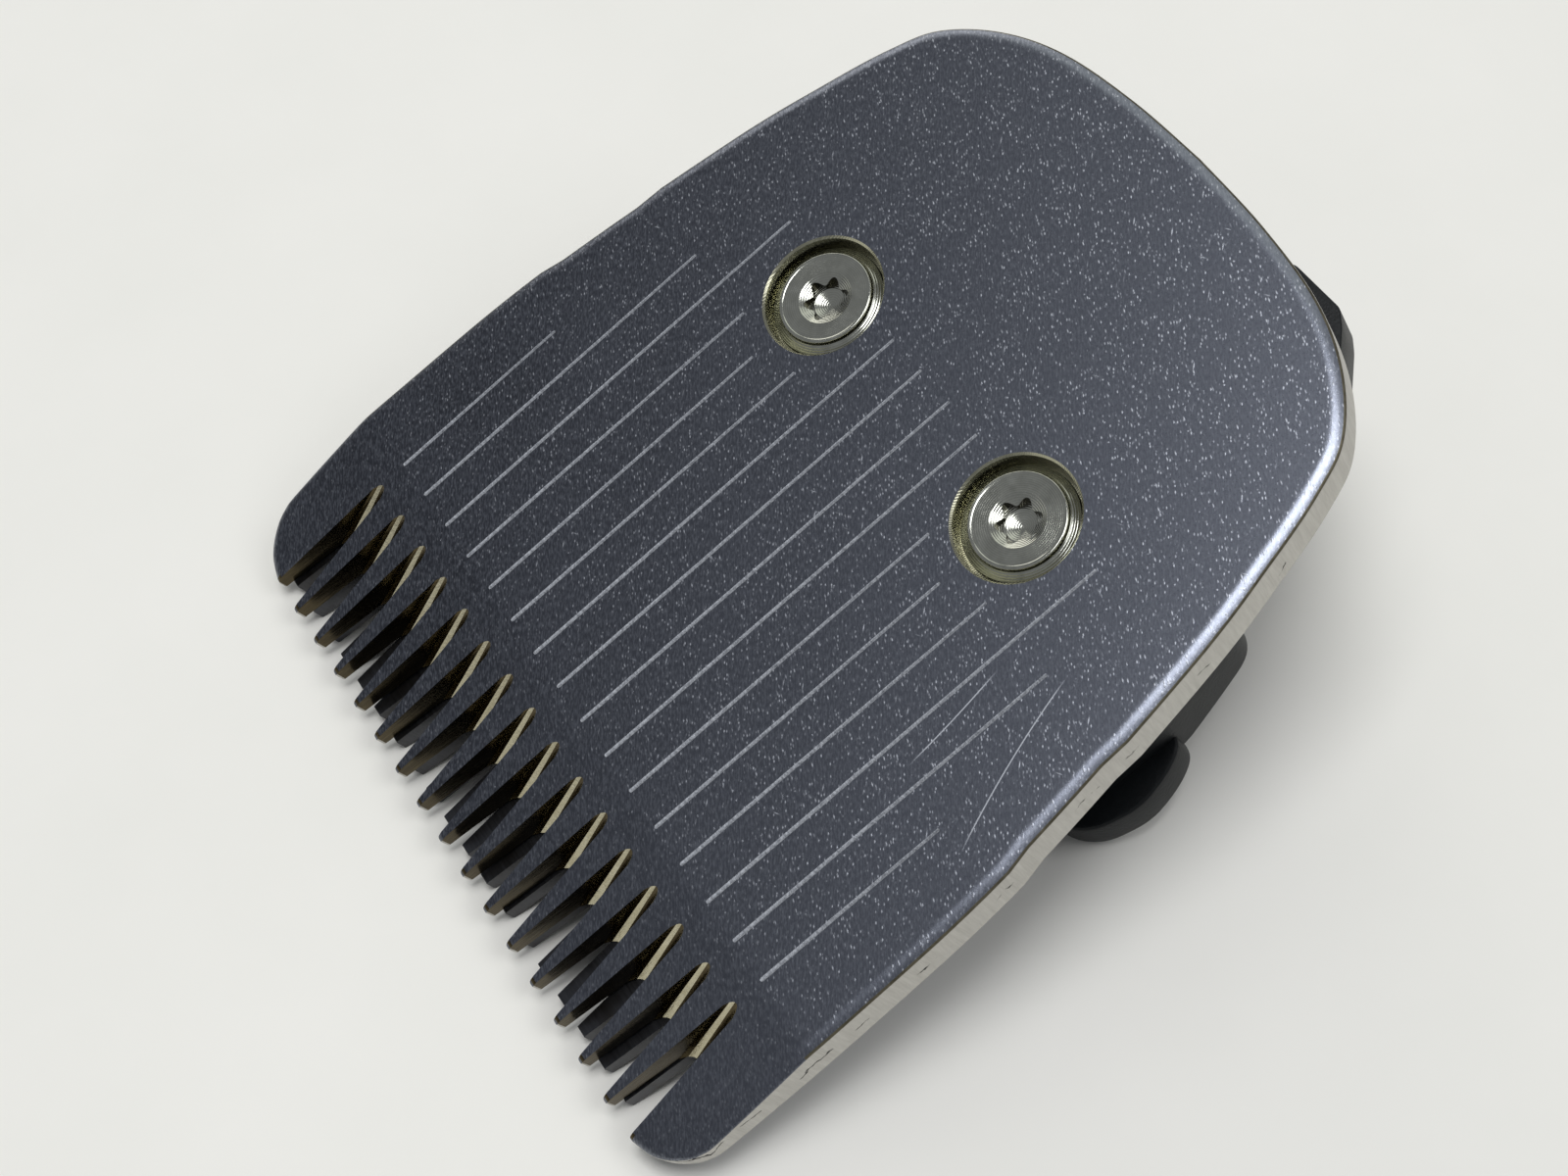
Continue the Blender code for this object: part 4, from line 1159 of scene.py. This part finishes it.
def coupling_base(material):
    outline = mirrored(BASE_HALF_OUTLINE)
    base = soft_slab(outline, BASE_BOTTOM_Z, BASE_TOP_Z, 0.25, 0.12)
    pocket = slab(rounded(mirrored(BASE_POCKET_OUTLINE), 1.5), BASE_FLOOR_TOP_Z, BASE_TOP_Z + 1.0)
    base = carve(base, pocket)
    tongue = soft_slab(rectangle(*TONGUE), TONGUE_BOTTOM_Z, HANG_Z, 0.6, 0.3)
    base = carve(base, tongue, "UNION")
    for side in (-1, 1):
        base = base_side(base, side)
    base = carve(base, opening(BASE_WINDOW, BOSS_BOTTOM_Z - 1.0, BASE_TOP_Z + 1.0, 0.8))
    for side in (-1, 1):
        bore = post(side * SCREW_X, SCREW_Y, BOSS_BOTTOM_Z - 1.0, BOSS_TOP_Z + 1.0, INSERT_RADIUS + FIT / 2)
        base = carve(base, bore)
        low_x, high_x, low_y, high_y = HOOK_RECESS
        recess_x = sorted((side * low_x, side * high_x))
        base = carve(base, opening((*recess_x, low_y, high_y), HOOK_RECESS_Z, HOOK_TOP_Z + 0.6, 0.4))
    finish("coupling_base", base, [material], "head")


def drive_bridge(material):
    half = [
        (0.0, BRIDGE_REAR_Y), (BRIDGE_HALF, BRIDGE_REAR_Y), (BRIDGE_HALF, 7.2), (BRIDGE_HALF + 0.8, 6.4),
        (BRIDGE_FOOT_HALF - 1.0, 6.4), (BRIDGE_FOOT_HALF, 5.4), (BRIDGE_FOOT_HALF, 0.5),
        (BRIDGE_FOOT_HALF - 1.0, -0.5), (0.0, -0.5),
    ]
    outline = [point + Vector((CUTTER_PARK_X, 0.0)) for point in mirrored(half)]
    bridge = soft_slab(outline, BRIDGE_FOOT_Z, BRIDGE_TOP_Z, 0.6, 0.12)
    left, right = CUTTER_PARK_X - BRIDGE_HALF, CUTTER_PARK_X + BRIDGE_HALF
    tower = soft_slab(
        rectangle(left + 0.01, right - 0.01, TOWER_FRONT_Y, BRIDGE_REAR_Y - 0.01), TOWER_BOTTOM_Z,
        BRIDGE_FOOT_Z + 0.5, 0.7, 0.2,
    )
    bridge = carve(bridge, tower, "UNION")
    low_x, high_x, low_y, high_y = DRIVE_SLOT
    slot_sides = (low_x + CUTTER_PARK_X, high_x + CUTTER_PARK_X, low_y, high_y)
    bridge = carve(bridge, opening(slot_sides, TOWER_BOTTOM_Z - 1.0, -4.6, 0.5))
    for side in (-1, 1):
        hole = post(CUTTER_PARK_X + side * RIVET_X, RIVET_Y, -6.0, -2.0, RIVET_RADIUS + FIT)
        bridge = carve(bridge, hole)
    finish("drive_bridge", bridge, [material], "cutter")


def mouldings():
    black = moulded_plastic("black_glass_nylon", "07090a", "14181a", 0.03)
    grey = moulded_plastic("grey_acetal", "6b6e6e", "8c8f8e", 0.015)
    coupling_base(black)
    carrier_frame(black)
    drive_bridge(grey)


# ---- floor, light and camera


def table_top():
    bm = bmesh.new()
    bmesh.ops.create_grid(bm, x_segments=1, y_segments=1, size=1.5)
    table = loose_object(bm, "table_top")
    table.data.materials.append(table_surface())


def softbox(name, direction, distance, size, power, colour):
    """A square lamp that faces the head."""
    lamp = bpy.data.lights.new(name, "AREA")
    lamp.shape = "RECTANGLE"
    lamp.size, lamp.size_y = size
    lamp.energy = power
    lamp.color = linear(colour)[:3]
    holder = bpy.data.objects.new(name, lamp)
    bpy.context.scene.collection.objects.link(holder)
    away = Vector(direction).normalized()
    holder.location = away * distance
    holder.rotation_euler = away.to_track_quat("Z", "Y").to_euler()


def lighting():
    world = bpy.data.worlds.new("studio")
    bpy.context.scene.world = world
    world.use_nodes = True
    background = world.node_tree.nodes["Background"]
    background.inputs["Color"].default_value = linear("e9ecf2")
    background.inputs["Strength"].default_value = 0.32
    softbox("overhead_softbox", (0.04, -0.08, 0.99), 0.55, (0.26, 0.26), 1.5, "fbfcff")
    softbox("back_left_softbox", (-0.52, 0.36, 0.78), 0.7, (0.36, 0.36), 0.35, "f4f8ee")
    softbox("rear_softbox", (0.45, 0.43, 0.78), 0.6, (0.28, 0.28), 0.6, "fbfcff")
    softbox("left_softbox", (-0.92, 0.2, 0.42), 0.7, (0.5, 0.3), 0.8, "fffdf8")


def camera():
    lens = bpy.data.cameras.new("camera")
    lens.lens = CAMERA_LENS
    lens.sensor_width = 36.0
    lens.clip_start = 0.005
    holder = bpy.data.objects.new("camera", lens)
    bpy.context.scene.collection.objects.link(holder)
    spot, aim = HEAD @ CAMERA_SPOT, HEAD @ CAMERA_AIM
    facing = (aim - spot).to_track_quat("-Z", "Y").to_matrix().to_4x4()
    holder.matrix_world = Matrix.Translation(spot) @ facing @ Matrix.Rotation(-CAMERA_ROLL, 4, "Z")
    bpy.context.scene.camera = holder


guard_plate()
screws()
inserts()
moving_cutter()
rivets()
pressure_spring()
mouldings()
table_top()
lighting()
camera()
bpy.context.scene.view_settings.view_transform = "Standard"
